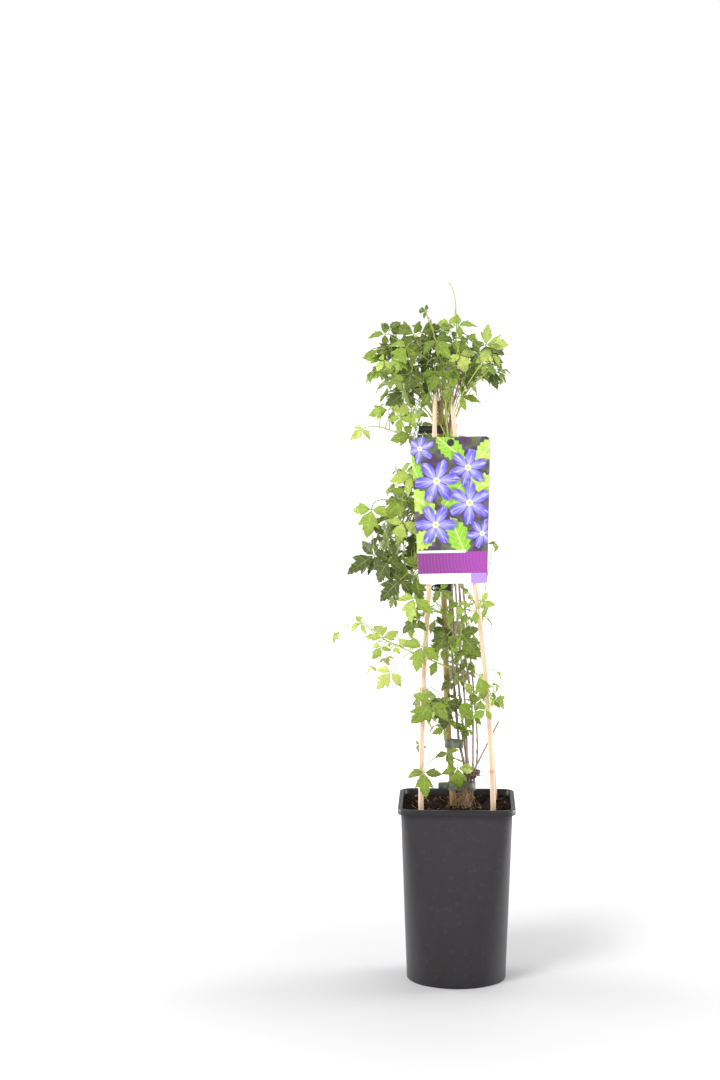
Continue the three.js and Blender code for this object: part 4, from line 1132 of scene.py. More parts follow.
@dataclass
class WoodyStems:
    """The old stems with their peeling bark, root collar, crown knots, pruned stub and surface roots.

    Each strand is written (foot, head), each knot (centre, size, seed of its lumps).
    """

    collar: Span = (10.0, -1.0)
    collar_radius: float = 7.68
    crown: float = 246.0
    node_gap: float = 62.0
    tones: tuple[float, ...] = (0.3, 0.6, 0.95, 0.8, 1.0)
    strands: tuple[tuple[Span, Span], ...] = (((4, -4), (15, -4)), ((8, 3), (18, 0)), ((15, 1), (21, -1)))
    knots: tuple[tuple[Point, Point, int], ...] = (
        ((19, -2, 246), (4.9, 4.4, 5.4), 3), ((25, -2, 249), (2.8, 2.6, 3.0), 4),
    )
    stub: tuple[Point, Point] = ((20, -3, 250), (49, -13, 311))
    strips: int = 60
    twigs: int = 18
    roots: int = 54
    seed: int = 5
    finish: Bark = Bark()
    roots_finish: Chips = Chips()

    def stem(self, number: int, radius: float, route: Sequence[Point]) -> Surface:
        """Carries a lumpy circle up a stem, swollen where old leaves stood."""
        t = np.linspace(0, 1, 150)
        path = catmull_rom(route, t)
        steps = distances(path)
        beyond = (steps + 17 * number) % self.node_gap - self.node_gap / 2
        swell = 1 + 0.35 * np.exp(-((beyond / 2.4) ** 2))
        draw = np.random.default_rng(self.seed + number)
        along, around = np.meshgrid(steps, 9 * turns(10), indexing="ij")
        lumps = 1 + 0.10 * ripples(along, around, draw.integers(999), (4, 22))
        return sweep(path, radius * (1 - 0.25 * t) * swell, 10, 0, self.tones[number], lumps)

    def strip(self, draw: np.random.Generator, radius: float, route: Sequence[Point]) -> Surface:
        """Carries a thin peeling strip beside a stem for a few centimetres, lifting off at its end."""
        t = np.linspace(0, 1, 12)
        path = catmull_rom(route, draw.uniform(0.02, 0.85) + draw.uniform(0.02, 0.06) * t)
        turn = draw.uniform(0, 2 * np.pi) + draw.uniform(-1.2, 1.2) * t
        lift = radius * 0.95 + t**3 * draw.uniform(0.3, 1.6)
        path += np.column_stack([np.cos(turn) * lift, np.sin(turn) * lift, 0 * lift])
        return sweep(path, (0.32, 0.12), 4, 0, draw.uniform(0.5, 1.0))

    def knot(self, centre: Point, size: Point, number: int) -> Surface:
        """A ball with lumps: radius = size x (1 + ripples over its angles), as rings from pole to pole."""
        lat = np.linspace(-np.pi / 2 + 0.12, np.pi / 2 - 0.12, 22)[:, None]
        lon = turns(32)[None, :]
        x, y = np.cos(lat) * np.cos(lon), np.cos(lat) * np.sin(lon)
        lumps = 1 + 0.16 * ripples(6 * x, 6 * y + 5 * lat, number, (3, 9))
        ball = np.stack([x, y, np.sin(lat) + 0 * lon], axis=-1)
        rings = np.array(centre) + ball * lumps[..., None] * np.array(size)
        return revolve(rings, np.linspace(0, 12, len(rings)), 0, 0.1)

    def strand(self, number: int, foot: Span, head: Span) -> Surface:
        """Carries a lumpy circle from the collar to the crown with a slight bow."""
        ends = np.array([(*foot, SOIL_TOP - 4), (*head, self.crown - 2)])
        path = arched(*ends, np.array([0.6, -0.5, 0]), 24)
        radii = 1.3 * (1 + 0.12 * np.sin(9 * np.linspace(0, 1, len(path))))
        return sweep(path, radii, 9, 0, 0.2 + 0.25 * number)

    def root(self, draw: np.random.Generator) -> Surface:
        """Carries a hair-thin circle from the crown's foot out and down to the soil, kinked on its way."""
        x0, y0 = draw.uniform(5, 16), draw.uniform(-8, -4)
        x1, y1 = draw.uniform(-15, 31), draw.uniform(-25, -6)
        start = np.array([x0, y0, draw.uniform(216, 240)])
        end = np.array([x1, y1, SOIL_TOP + draw.uniform(-0.5, 1.5)])
        path = arched(start, end, draw.normal(0, 2.6, 3), 26)
        t = np.linspace(0, 1, len(path))[:, None]
        path += np.sin(t * draw.uniform(7, 20)) * draw.normal(0, 1.1, 3)
        path[:, 2] = np.maximum(path[:, 2], SOIL_TOP + 0.3)
        return sweep(path, (0.30, 0.10), 5, 0, draw.uniform(0.6, 1.1))

    def twig(self, draw: np.random.Generator) -> Surface:
        """Carries a small circle out of the crown's knots and up, for the stub of a shoot cut long ago."""
        start = np.array([draw.uniform(14, 26), draw.uniform(-6, 1), self.crown + draw.uniform(-4, 4)])
        way = np.array([draw.uniform(-1.0, 1.0), draw.uniform(-1.2, 0.3), draw.uniform(-0.1, 0.9)])
        path = arched(start, start + way * draw.uniform(5, 12), draw.normal(0, 0.8, 3), 8)
        return sweep(path, (0.95, draw.uniform(0.25, 0.6)), 7, 0, draw.uniform(0, 0.6))

    def root_collar(self) -> Surface:
        """Carries a fluted circle up out of the soil, drawn in above it."""
        z = np.linspace(SOIL_TOP - 30, SOIL_TOP + 2.5, 14)
        taper = np.where(z > SOIL_TOP, 1 - 0.16 * (z - SOIL_TOP), 1)
        path = np.column_stack([np.full((len(z), 2), self.collar), z])
        flutes = 1 + 0.05 * np.sin(4 * turns(28))
        return sweep(path, self.collar_radius * taper, len(flutes), 0, 0.1, flutes)

    def build(self) -> None:
        """Makes the stems and the surface roots."""
        parts = [self.stem(k, radius, route) for k, (radius, route) in enumerate(WOODY_STEMS)]
        draw = np.random.default_rng(self.seed)
        parts += [self.strip(draw, *WOODY_STEMS[k % len(WOODY_STEMS)]) for k in range(self.strips)]
        parts.append(self.root_collar())
        parts += [self.strand(number, *ends) for number, ends in enumerate(self.strands)]
        parts += [self.knot(*knot) for knot in self.knots]
        parts += [self.twig(draw) for _ in range(self.twigs)]
        stub = np.linspace(*self.stub, 30)
        radii = np.linspace(1.25, 0.95, len(stub)) * (1 + 0.06 * np.sin(np.arange(len(stub)) * 1.3))
        parts.append(sweep(stub, radii, 9, 0, 0.95))
        make_piece("old_stems", parts, [self.finish.dress()], ["woody_stems"])
        roots = [self.root(draw) for _ in range(self.roots)]
        make_piece("surface_roots", roots, [self.roots_finish.dress()])


# ---------------------------------------------------------------- leaves, laid out as the CAD shoots are


class Edge(Enum):
    """Half outlines of a leaflet from stalk to tip, in shares of its length: (place along, half width).

    Point k of each is joined to the rib at RIB_PLACES[k].
    """

    LOBED = (
        (0.06, 0.02), (0.12, 0.07), (0.195, 0.145), (0.275, 0.22), (0.335, 0.275), (0.362, 0.258),
        (0.47, 0.315), (0.61, 0.362), (0.588, 0.285), (0.552, 0.19), (0.60, 0.186), (0.665, 0.19),
        (0.75, 0.188), (0.748, 0.15), (0.752, 0.128), (0.79, 0.12), (0.828, 0.112), (0.872, 0.1),
        (0.872, 0.078), (0.905, 0.056), (0.952, 0.025), (1.0, 0.0),
    )
    TOOTHED = (
        (0.06, 0.02), (0.115, 0.065), (0.185, 0.13), (0.26, 0.195), (0.315, 0.245), (0.345, 0.23),
        (0.43, 0.268), (0.56, 0.3), (0.548, 0.248), (0.545, 0.195), (0.59, 0.19), (0.65, 0.186),
        (0.735, 0.176), (0.735, 0.144), (0.745, 0.125), (0.78, 0.118), (0.82, 0.108), (0.868, 0.094),
        (0.87, 0.073), (0.905, 0.052), (0.952, 0.024), (1.0, 0.0),
    )
    PLAIN = (
        (0.06, 0.018), (0.11, 0.055), (0.175, 0.105), (0.24, 0.15), (0.305, 0.185), (0.335, 0.176),
        (0.41, 0.198), (0.50, 0.206), (0.51, 0.186), (0.53, 0.17), (0.58, 0.17), (0.635, 0.164),
        (0.70, 0.154), (0.708, 0.134), (0.725, 0.12), (0.77, 0.11), (0.815, 0.098), (0.86, 0.084),
        (0.868, 0.067), (0.905, 0.047), (0.952, 0.022), (1.0, 0.0),
    )


RIB_PLACES = (
    0.055, 0.10, 0.15, 0.20, 0.235, 0.27, 0.31, 0.345, 0.39, 0.47, 0.52,
    0.565, 0.605, 0.645, 0.69, 0.73, 0.775, 0.81, 0.845, 0.885, 0.93, 0.985,
)
STALK_TAIL = 2.4
STALK_ARCH = 0.25
STALK_ARRIVAL = 0.35
SIDE_SHARE = 0.76
SIDE_ANGLE = 80.0
LOBED_FROM = 23.0
SHOOT_RADIUS = 1.2
SHOOT_GAP = 0.75
GOLDEN_ANGLE = 137.508


def variation(seed: int) -> float:
    """Returns a fixed share from 0 to 1 that differs from seed to seed."""
    return ((seed + 1) * 2654435761 % 2**32) / 2**32


@dataclass(frozen=True)
class Leaflet:
    """One leaflet's turn from the leaf's axis, length and edges."""

    angle: float
    length: float
    right: Edge
    left: Edge


@dataclass(frozen=True)
class LeafletNet:
    """A leaflet's flat grid: places u along and v across in shares of its length, and more for each point."""

    u: Array
    v: Array
    share: Array
    rib: Array
    faces: Array


@lru_cache(maxsize=None)
def leaflet_net(right: Edge, left: Edge, columns: int = 3) -> LeafletNet:
    """Lays out a leaflet's grid: rows run from the rib, slanting forward, to the edge on either side.

    A grid point is rib point + share x (edge point - rib point). The two sides share the rib, and meet along
    the last row at the tip. Both skins use one layout, joined by a rim.

    Args:
        right: the right-hand edge.
        left: the left-hand edge.
        columns: quads from rib to edge.

    Returns:
        The grid.
    """
    rib = np.array(RIB_PLACES)[:, None]
    share = np.linspace(-1, 1, 2 * columns + 1)
    edge = np.array([left.value, right.value])[(share > 0).astype(int)].transpose(1, 0, 2)
    number = np.arange(len(rib) * len(share)).reshape(len(rib), -1)
    number[-1, :columns] = number[-1, :columns:-1]
    used, compact = np.unique(number, return_inverse=True)
    number = compact.reshape(number.shape)
    top = np.stack([number[:-1, :-1], number[:-1, 1:], number[1:, 1:], number[1:, :-1]], axis=-1)
    top = top.reshape(-1, 4)
    rim = np.concatenate([number[0], number[1:, -1], number[-2:0:-1, 0]])
    after = np.roll(rim, -1)
    walls = np.stack([rim + len(used), after + len(used), after, rim], axis=1)
    grids = (rib + np.abs(share) * (edge[..., 0] - rib), share * edge[..., 1], share, rib)
    kept = (np.broadcast_to(grid, number.shape).ravel()[used] for grid in grids)
    return LeafletNet(*kept, np.concatenate([top, top[:, ::-1] + len(used), walls]))


@dataclass(frozen=True)
class Leaf:
    """A leaf on its stalk: where it forks, its heading, size, facing and leaflets, in the CAD's terms."""

    at: float
    x: float
    y: float
    z: float
    heading: float
    length: float
    facing: float
    count: int
    slope: Optional[float] = None
    thickness: float = 0.34

    @property
    def fork(self) -> Array:
        """The place where the leaf's stalk forks."""
        return np.array([self.x, self.y, self.z])

    def axes(self, seed: int) -> tuple[Array, Array, Array]:
        """Returns the leaf's side, axis and normal directions."""
        turn = math.radians(self.facing + 24 * (variation(seed) - 0.5))
        slope = 0.15 + 0.5 * variation(seed + 7) if self.slope is None else self.slope
        normal = unit(np.array([math.sin(turn), -math.cos(turn), slope]))
        heading = math.radians(self.heading)
        ahead = np.array([math.cos(turn), math.sin(turn), 0]) * math.cos(heading)
        axis = ahead + np.array([0, 0, math.sin(heading)])
        axis = unit(axis - normal * (axis @ normal))
        return np.cross(axis, normal), axis, normal

    def leaflets(self, seed: int) -> list[Leaflet]:
        """Returns the leaflets from right to left."""
        edge = Edge.LOBED if self.length > LOBED_FROM else Edge.TOOTHED
        middle = Leaflet(0.0, self.length, edge, edge)
        if self.count == 1:
            return [middle]
        sides = []
        for sign, edges in ((1, (Edge.TOOTHED, Edge.PLAIN)), (-1, (Edge.PLAIN, Edge.TOOTHED))):
            angle = sign * math.radians(SIDE_ANGLE + 16 * (variation(seed + 3 * sign + 20) - 0.5))
            length = self.length * SIDE_SHARE * (0.85 + 0.3 * variation(seed + sign + 40))
            sides.append(Leaflet(angle, length, *edges))
        return [sides[0], middle, sides[1]]

    def bend(
        self, part: Leaflet, number: int, seed: int, u: Array, v: Array, ripple: Array
    ) -> tuple[Array, Array]:
        """Bends flat places of a leaflet into the air.

        The rib runs on an arc: along = sin(curl x u) / curl and lift = (cos(curl x u) - 1) / curl. The sides
        rise by fold x distance from the rib, and the leaflet twists about it and sways by sway x u squared.

        Args:
            part: the leaflet.
            number: its place on the leaf.
            seed: the leaf's seed.
            u: share of the length along the rib.
            v: offset from the rib over the length.
            ripple: extra lift over the length.

        Returns:
            The places in millimetres and the blade's own up direction at each.
        """
        side, axis, normal = self.axes(seed)
        draw = np.random.default_rng((seed, number)).random(4)
        curl, fold = 0.3 + 1.0 * draw[0], 0.55 * draw[1] - 0.10
        twist, sway = 1.1 * (draw[2] - 0.5), 0.26 * (draw[3] - 0.5)
        along = side * math.sin(part.angle) + axis * math.cos(part.angle)
        flat = side * math.cos(part.angle) - axis * math.sin(part.angle)
        across = flat * math.cos(twist) + normal * math.sin(twist)
        up = normal * math.cos(twist) - flat * math.sin(twist)
        sine, cosine = np.sin(curl * u)[:, None], np.cos(curl * u)[:, None]
        lift = (cosine - 1) / curl + (fold * (np.sqrt(v * v + 4e-4) - 0.02) + ripple)[:, None]
        place = sine / curl * along + (v + sway * u * u)[:, None] * across + lift * up
        return self.fork + part.length * place, cosine * up + sine * along

    def blade(self, part: Leaflet, number: int, seed: int, tone: float) -> Surface:
        """Makes one leaflet, puffed between its veins and waved along its edge.

        Args:
            part: the leaflet.
            number: its place on the leaf.
            seed: the leaf's seed.
            tone: from dark to pale.

        Returns:
            A thin closed blade with both skins and its rim.
        """
        net = leaflet_net(part.right, part.left)
        out = np.abs(net.share)
        phase = 2 * np.pi * variation(seed + 11 * number + 60)
        ripple = 0.024 * np.sin(15 * net.u + phase + 2 * np.sign(net.share)) * out**2
        ripple += 0.012 * np.cos(2 * np.pi * VEINS * net.rib) * out * (1 - out) * 4
        middle, up = self.bend(part, number, seed, net.u, net.v, ripple)
        half = up * self.thickness / 2
        corner = np.stack([0.5 + 0.5 * net.share, net.rib], axis=1)
        uv = np.concatenate([corner, corner])[net.faces]
        points = np.concatenate([middle + half, middle - half])
        return Surface(points, net.faces, uv, tone=tone, under=np.repeat([0.0, 1.0], len(out)))

    def blades(self, seed: int, tone: float) -> list[Surface]:
        """Makes the leaf's blades, each a little paler or darker than the others."""
        shades = np.clip(tone + 0.2 * (np.random.default_rng(seed).random(3) - 0.5), 0, 1)
        return [self.blade(part, k, seed, float(shades[k])) for k, part in enumerate(self.leaflets(seed))]

    def stalk(self, foot: Array, seed: int, tone: float) -> list[Surface]:
        """Carries a tapering circle from the shoot to the fork, and a finer one on to each leaflet's foot."""
        _, axis, _ = self.axes(seed)
        tail = self.fork - axis * STALK_TAIL
        reach = np.linalg.norm(foot - tail)
        rising = foot + 0.4 * (tail - foot) + np.array([0, 0, STALK_ARCH * reach])
        path = bezier(foot, rising, tail - axis * STALK_ARRIVAL * reach, tail, 18)
        path = np.concatenate([path, [self.fork]])
        t = np.linspace(0, 1, len(path))
        radii = 0.40 + 0.22 * np.exp(-6 * t) + 0.08 * np.exp(-8 * (1 - t))
        parts = [sweep(path, radii * (0.75 + self.length / 90), 7, 1, tone)]
        t = np.linspace(0, 0.5, 16)
        rib = np.interp(t, [0, 0.07, 0.5], [0.42, 0.30, 0.10]) * (0.55 + self.length / 75)
        for number, part in enumerate(self.leaflets(seed)):
            line, up = self.bend(part, number, seed, t, 0 * t, 0 * t)
            parts.append(sweep(line - 0.16 * up, rib, 6, 1, tone))
        return parts


@dataclass
class Shoot:
    """A leafy shoot: its route from an old stem and its leaves, paler near its tip and where small. A low
    tone paints shade on a shoot that sits in shadow, as in the crown's middle.
    """

    name: str
    stem: int
    height: Optional[float]
    tone: float
    stalk_tone: float
    route: tuple[Point, ...]
    leaves: tuple[Leaf, ...]
    tip_from: float = 0.85
    young_below: float = 18.0

    def curve(self) -> Array:
        """Returns the route with its start just clear of the old stem."""
        radius, stem = WOODY_STEMS[self.stem]
        if self.height is None:
            start = np.array(stem[-1], float) + np.array([0, 0, SHOOT_GAP])
        else:
            bark = height_on(stem, self.height)
            away = np.array(self.route[0], float) - bark
            away[2] = 0
            start = bark + unit(away) * (radius + SHOOT_GAP)
        return np.concatenate([[start], self.route])

    def leaf_tone(self, leaf: Leaf, seed: int) -> float:
        """Returns a leaf's tone, from its seed, its place and its size."""
        tip = max(0.0, leaf.at - self.tip_from) / (1 - self.tip_from)
        young = 0.035 * max(0.0, self.young_below - leaf.length)
        return self.tone + 0.5 * (variation(seed + 60) - 0.5) + 0.1 * tip + young

    def grow(self, first_seed: int) -> tuple[list[Surface], int]:
        """Returns the shoot's surfaces and its last leaf's seed."""
        curve, count = self.curve(), len(self.route)
        t = np.linspace(0, 1, 14 * count)
        stations = [math.floor(leaf.at * 2 * count + 0.5) / (2 * count) for leaf in self.leaves]
        beyond = np.abs(t[:, None] - stations).min(axis=1) * count * 9
        radii = SHOOT_RADIUS * 0.85 * (1 - 0.55 * t) * (1 + 0.4 * np.exp(-(beyond**2)))
        parts = [sweep(catmull_rom(curve, t), radii, 9, 1, self.stalk_tone)]
        feet = catmull_rom(curve, np.array(stations))
        for seed, (leaf, foot) in enumerate(zip(self.leaves, feet), first_seed + 1):
            parts += leaf.stalk(foot, seed, self.stalk_tone)
            parts += leaf.blades(seed, self.leaf_tone(leaf, seed))
        return parts, first_seed + len(self.leaves)


# The tone column sets each shoot's green; its low values on the crown's middle and back shoots are painted
# shade.
SHOOT_ROWS = (
    ("shoot_foot", 0, 262, 0.30, 0.6,
     ((-1, -14, 266), (-14, -20, 272), (-30, -34, 268), (-37, -46, 262)),
     ((0.98, -38, -53, 257, -90, 31, 0, 3), (0.15, 1, -22, 257, -88, 31, 0, 3),
      (0.4, -11, -26, 276, -75, 19, 0, 3), (0.6, -44, -30, 287, -110, 15, -20, 3))),
    ("shoot_low_left", 0, 322, 0.12, 0.5,
     ((-8, -15, 326), (-16, -24, 334), (-24, -36, 342), (-29, -46, 344)),
     ((0.98, -31, -53, 341, -118, 40, 0, 3), (0.3, -13, -28, 336, -97, 35, 0, 3),
      (0.5, -8, -24, 360, -150, 17, 0, 3))),
    ("shoot_low_right", 3, 322, 0.36, 0.55,
     ((14, -14, 326), (20, -18, 334), (26, -20, 342)),
     ((0.15, 0, -22, 334, -48, 29, 10, 1), (0.95, 28, -22, 338, 172, 21, 0, 3),
      (0.6, 9, -18, 358, -50, 21, 0, 1))),
    ("shoot_right", 2, 342, 0.42, 0.6,
     ((23, -6, 346), (33, -15, 352), (42, -27, 355), (42, -43, 351), (36, -50, 346)),
     ((0.98, 33, -54, 331, -140, 19, 0, 3), (0.8, 44, -46, 342, 10, 16, 20, 3),
      (0.4, 45, 8, 368, -50, 21, 40, 1), (0.9, 24, -48, 369, -62, 30, 0, 1))),
    ("shoot_far_left", 0, 372, 0.78, 0.8,
     ((-16, -18, 378), (-34, -20, 386), (-52, -18, 393), (-74, -12, 402), (-96, -2, 412), (-112, 6, 424),
      (-134, 12, 420)),
     ((0.4, -78, -26, 371, -128, 28, 0, 3), (0.66, -88, -12, 410, 100, 29, 0, 3),
      (0.6, -90, -18, 400, -112, 20, 0, 3), (0.5, -70, -18, 410, -42, 20, 0, 1),
      (0.82, -114, 8, 424, -150, 20, -20, 3), (0.98, -140, 12, 414, -125, 17, -20, 1))),
    ("shoot_mid_left", 0, 430, 0.33, 0.55,
     ((-14, -16, 436), (-24, -26, 444), (-36, -38, 450), (-46, -38, 456)),
     ((0.6, -41, -44, 404, -112, 33, 0, 3), (0.8, -46, -44, 436, -142, 26, 0, 3),
      (0.98, -50, -47, 461, -116, 34, -10, 3), (0.35, -20, -36, 470, -38, 22, 0, 3))),
    ("shoot_mid_centre", 3, 402, 0.35, 0.5,
     ((4, -18, 406), (2, -22, 414), (-6, -24, 420)),
     ((0.98, -12, -26, 415, -125, 29, 0, 3), (0.7, -24, -24, 384, -118, 21, 0, 1),
      (0.4, 6, -26, 415, -58, 36, 10, 3), (0.2, 8, -18, 388, -100, 20, 10, 1))),
    ("shoot_mid_right", 2, 440, 0.55, 0.6,
     ((10, -6, 446), (20, -12, 452), (31, -24, 456), (31, -38, 458)),
     ((0.2, 2, -20, 452, -80, 20, 0, 3), (0.55, 12, -18, 440, -118, 16, 0, 1),
      (0.98, 28, -42, 457, -25, 18, 0, 3), (0.9, 22, -44, 446, -95, 17, 0, 1))),
    ("shoot_left_low", 0, 480, 0.1, 0.4,
     ((-20, -15, 486), (-38, -16, 494), (-60, -20, 502), (-80, -18, 508), (-97, -17, 510)),
     ((0.98, -98, -19, 508, -144, 40, 0, 3), (0.86, -92, -4, 506, -112, 27, -20, 1),
      (0.72, -80, -30, 504, -122, 34, 0, 3), (0.55, -66, -22, 504, -98, 34, 0, 3),
      (0.7, -72, 6, 518, 165, 27, -20, 3), (0.4, -66, -32, 482, -132, 38, 0, 3),
      (0.3, -49, -18, 482, -84, 31, 0, 1))),
    ("shoot_left", 0, 535, 0.55, 0.2,
     ((-24, -12, 541), (-44, -10, 552), (-58, -9, 568), (-57, -8, 588), (-52, -6, 606)),
     ((0.5, -101, -16, 562, -98, 36, 0, 3), (0.66, -60, -16, 577, -140, 40, 0, 3),
      (0.88, -54, -12, 600, 175, 32, 0, 3), (0.98, -54, -6, 616, -155, 25, -20, 1),
      (0.35, -64, -24, 548, -108, 30, 0, 3), (0.3, -70, 0, 540, -165, 28, -20, 3))),
    ("shoot_left_high", 0, 612, 0.6, 0.6,
     ((-30, -6, 622), (-50, -4, 640), (-74, 0, 652), (-96, 3, 658), (-110, 4, 657)),
     ((0.4, -55, -14, 650, -160, 28, 0, 3), (0.98, -113, 3, 655, -122, 20, 0, 3),
      (0.7, -82, 2, 678, -165, 27, 0, 1), (0.5, -54, -3, 678, 178, 32, -10, 3),
      (0.45, -50, -14, 667, 172, 18, 0, 1))),
    ("shoot_crown_left", 0, None, 0.3, 0.6,
     ((-16, -11, 652), (-23, -11, 665), (-38, -9, 688), (-54, -6, 708), (-71, -5, 723), (-86, -4, 735)),
     ((0.5, -62, -12, 700, -132, 31, 0, 3), (0.98, -89, -5, 738, 178, 24, 0, 3),
      (0.9, -82, -16, 730, -140, 27, 0, 3), (0.6, -54, -42, 724, -104, 26, 0, 3),
      (0.75, -60, -35, 752, -122, 31, 0, 3), (0.4, -34, -24, 700, -100, 22, 0, 1),
      (0.8, -72, -22, 728, -88, 30, -10, 3))),
    ("shoot_crown_back_left", 1, None, 0.22, 0.55,
     ((-15, 5, 666), (-26, 6, 692), (-42, 3, 728), (-60, 1, 752), (-78, 2, 763)),
     ((0.98, -86, 10, 766, 178, 23, 0, 3), (0.92, -80, -6, 772, 60, 21, 0, 3),
      (0.72, -52, -6, 766, 150, 31, 0, 3), (0.7, -44, -4, 768, 25, 31, 0, 3),
      (0.8, -70, 8, 752, -152, 34, -20, 3))),
    ("shoot_crown_middle", 3, None, 0.2, 0.6,
     ((-13, -15, 660), (-15, -21, 692), (-20, -18, 730), (-27, -12, 762), (-36, -4, 786), (-38, -2, 793)),
     ((0.7, -26, -32, 760, -60, 29, 0, 3), (0.6, -33, -11, 744, -104, 28, 0, 3),
      (0.5, -27, -34, 724, -95, 27, 0, 3), (0.3, -12, -30, 706, -95, 22, 0, 1),
      (0.99, -38, -2, 793, 165, 14, 0, 3), (0.8, -22, -20, 772, 35, 22, 0, 1))),
    ("shoot_crown_tendril", 2, None, 0.6, 0.7,
     ((-5, -5, 664), (-6, -10, 700), (-4, -10, 740), (-2, -5, 770), (-3, -3, 790), (-4, -2, 806),
      (-7, -1, 819), (-12, 0, 827)),
     ((0.68, 0, -8, 777, 12, 22, 0, 3), (0.5, 2, -34, 744, -70, 26, 10, 3),
      (0.6, -10, 10, 776, 150, 23, 0, 3), (0.55, -9, -18, 758, -35, 26, 0, 1))),
    ("shoot_crown_right", 4, None, 0.5, 0.55,
     ((-9.5, 7, 661), (0, 3, 675), (4, 7, 696), (7, 8, 722), (15, 4, 744), (30, 0, 754)),
     ((0.99, 32, -1, 754, 2, 33, 10, 3), (0.8, 8, 6, 762, -3, 27, 20, 1),
      (0.75, 19, -12, 745, -12, 39, 0, 3), (0.5, 6, -10, 712, 20, 22, 10, 1),
      (0.35, 5, -22, 694, -8, 23, 10, 3))),
)
SHOOTS = tuple(Shoot(*row[:-1], tuple(Leaf(*leaf) for leaf in row[-1])) for row in SHOOT_ROWS)


def back_shoot(
    order: int, name: str, stem: int, height: float, top: float, reach: float, leaves: int
) -> Shoot:
    """Lays out a shoot round the back, whose leaves climb in golden-angle steps.

    Args:
        order: its place among the back shoots.
        name: its name.
        stem: the old stem that it leaves.
        height: where it starts.
        top: where it ends.
        reach: how far its leaves stand out.
        leaves: how many it has.

    Returns:
        The shoot.
    """
    made = []
    for k in range(leaves):
        share = (k + 0.5) / leaves
        facing = 215 + 50 * math.sin(math.radians(GOLDEN_ANGLE * (k + 5 * order)))
        out = reach * (0.75 + 0.35 * variation(k + 50 * order))
        x, y = -8 + out * math.sin(math.radians(facing)), 8 - out * math.cos(math.radians(facing))
        z = height + (top - height) * share
        heading = -90 + 80 * math.cos(math.radians(GOLDEN_ANGLE * (k + 1)))
        length = 23 + 9 * variation(k + 90 + order)
        made.append(Leaf(0.2 + 0.75 * share, x, y, z, heading, length, facing, 3))
    route = ((-6, 24, height + 8), (-10, 30, (height + top) / 2), (-14, 28, top))
    return Shoot(name, stem, height, 0.5, 0.45, route, tuple(made))


BACK_SHOOTS = (
    ("shoot_back_low", 1, 300, 380, 44, 3),
    ("shoot_back_middle", 4, 405, 490, 46, 3),
    ("shoot_back_high", 1, 520, 600, 46, 3),
    ("shoot_back_top", 4, 618, 735, 42, 3),
)


@dataclass
class Room:
    """Remembers which small cells of the air are taken, so that added leaves keep mostly clear of them."""

    cell: float = 3.0
    low: Point = (-165.0, -90.0, 180.0)
    shape: tuple[int, int, int] = (90, 60, 230)
    keep_out: tuple[Point, Point] = ((-60, -90, 468), (42, -14, 655))

    def __post_init__(self) -> None:
        """Starts with empty air."""
        self.taken = np.zeros(self.shape, bool)

    def cells(self, points: Array) -> tuple[Array, ...]:
        """Returns the cells of points, held inside the grid."""
        index = ((points - np.array(self.low)) / self.cell).astype(int)
        return tuple(np.clip(index, 0, np.array(self.shape) - 1).T)

    def fill(self, parts: Sequence[Surface]) -> None:
        """Takes the cells of the surfaces' points and face middles."""
        for part in parts:
            self.taken[self.cells(part.points)] = True
            self.taken[self.cells(part.points[part.quads].mean(axis=1))] = True

    def crowding(self, parts: Sequence[Surface]) -> float:
        """Returns the share of points in taken cells, or 1 where some are before the card or out of reach."""
        points = np.concatenate([part.points for part in parts])
        low, high = self.keep_out
        before_card = np.all((points > low) & (points < high), axis=1)
        outside = np.any((points < BOX_LOW) | (points > BOX_HIGH), axis=1)
        if before_card.any() or outside.any():
            return 1.0
        return float(self.taken[self.cells(points)].mean())


@dataclass(frozen=True)
class Thicket:
    """A cloud of smaller leaves on a shoot: where they stand, how many, how long, how pale and how tilted.

    drop is how far under its leaf a stalk leaves the shoot. crowding is the share of points allowed in
    taken cells. Low tones are painted shade, for clouds set where shadow falls.
    """

    shoot: int
    centre: Point
    reach: Point
    count: int
    lengths: Span
    tones: Span
    drop: float = 12.0
    crowding: float = 0.03
    slopes: Span = (-0.2, 1.6)
    tries: int = 40
    seed: int = 77

    def draw_leaf(self, draw: np.random.Generator) -> Leaf:
        """Draws a leaf in the cloud that looks outwards and hangs, more or less."""
        way = unit(draw.normal(0, 1, 3))
        x, y, z = np.array(self.centre) + way * draw.random() ** 0.5 * np.array(self.reach)
        facing = math.degrees(math.atan2(x + 12, -y)) + draw.uniform(-60, 60)
        heading = -90 + draw.normal(0, 48)
        return Leaf(0, x, y, z, heading, draw.uniform(*self.lengths), facing, 3, draw.uniform(*self.slopes))

    def grow(self, curve: Array, room: Room, number: int) -> list[Surface]:
        """Places the leaves one by one where the air is free, each on a stalk from lower down its shoot.

        Args:
            curve: points of the shoot.
            room: the air, in which the new leaves are marked.
            number: number of the cloud, which seeds it.

        Returns:
            The leaves' surfaces.
        """
        draw = np.random.default_rng((self.seed, number))
        made: list[Surface] = []
        for seed in range(1000 * number, 1000 * number + self.count):
            for _ in range(self.tries):
                leaf = self.draw_leaf(draw)
                blades = leaf.blades(seed, draw.uniform(*self.tones))
                if room.crowding(blades) <= self.crowding:
                    gap = np.linalg.norm(curve - (leaf.fork - (0, 0, self.drop)), axis=1)
                    made += leaf.stalk(curve[np.argmin(gap)], seed, draw.uniform(0.3, 0.8)) + blades
                    room.fill(blades)
                    break
        return made
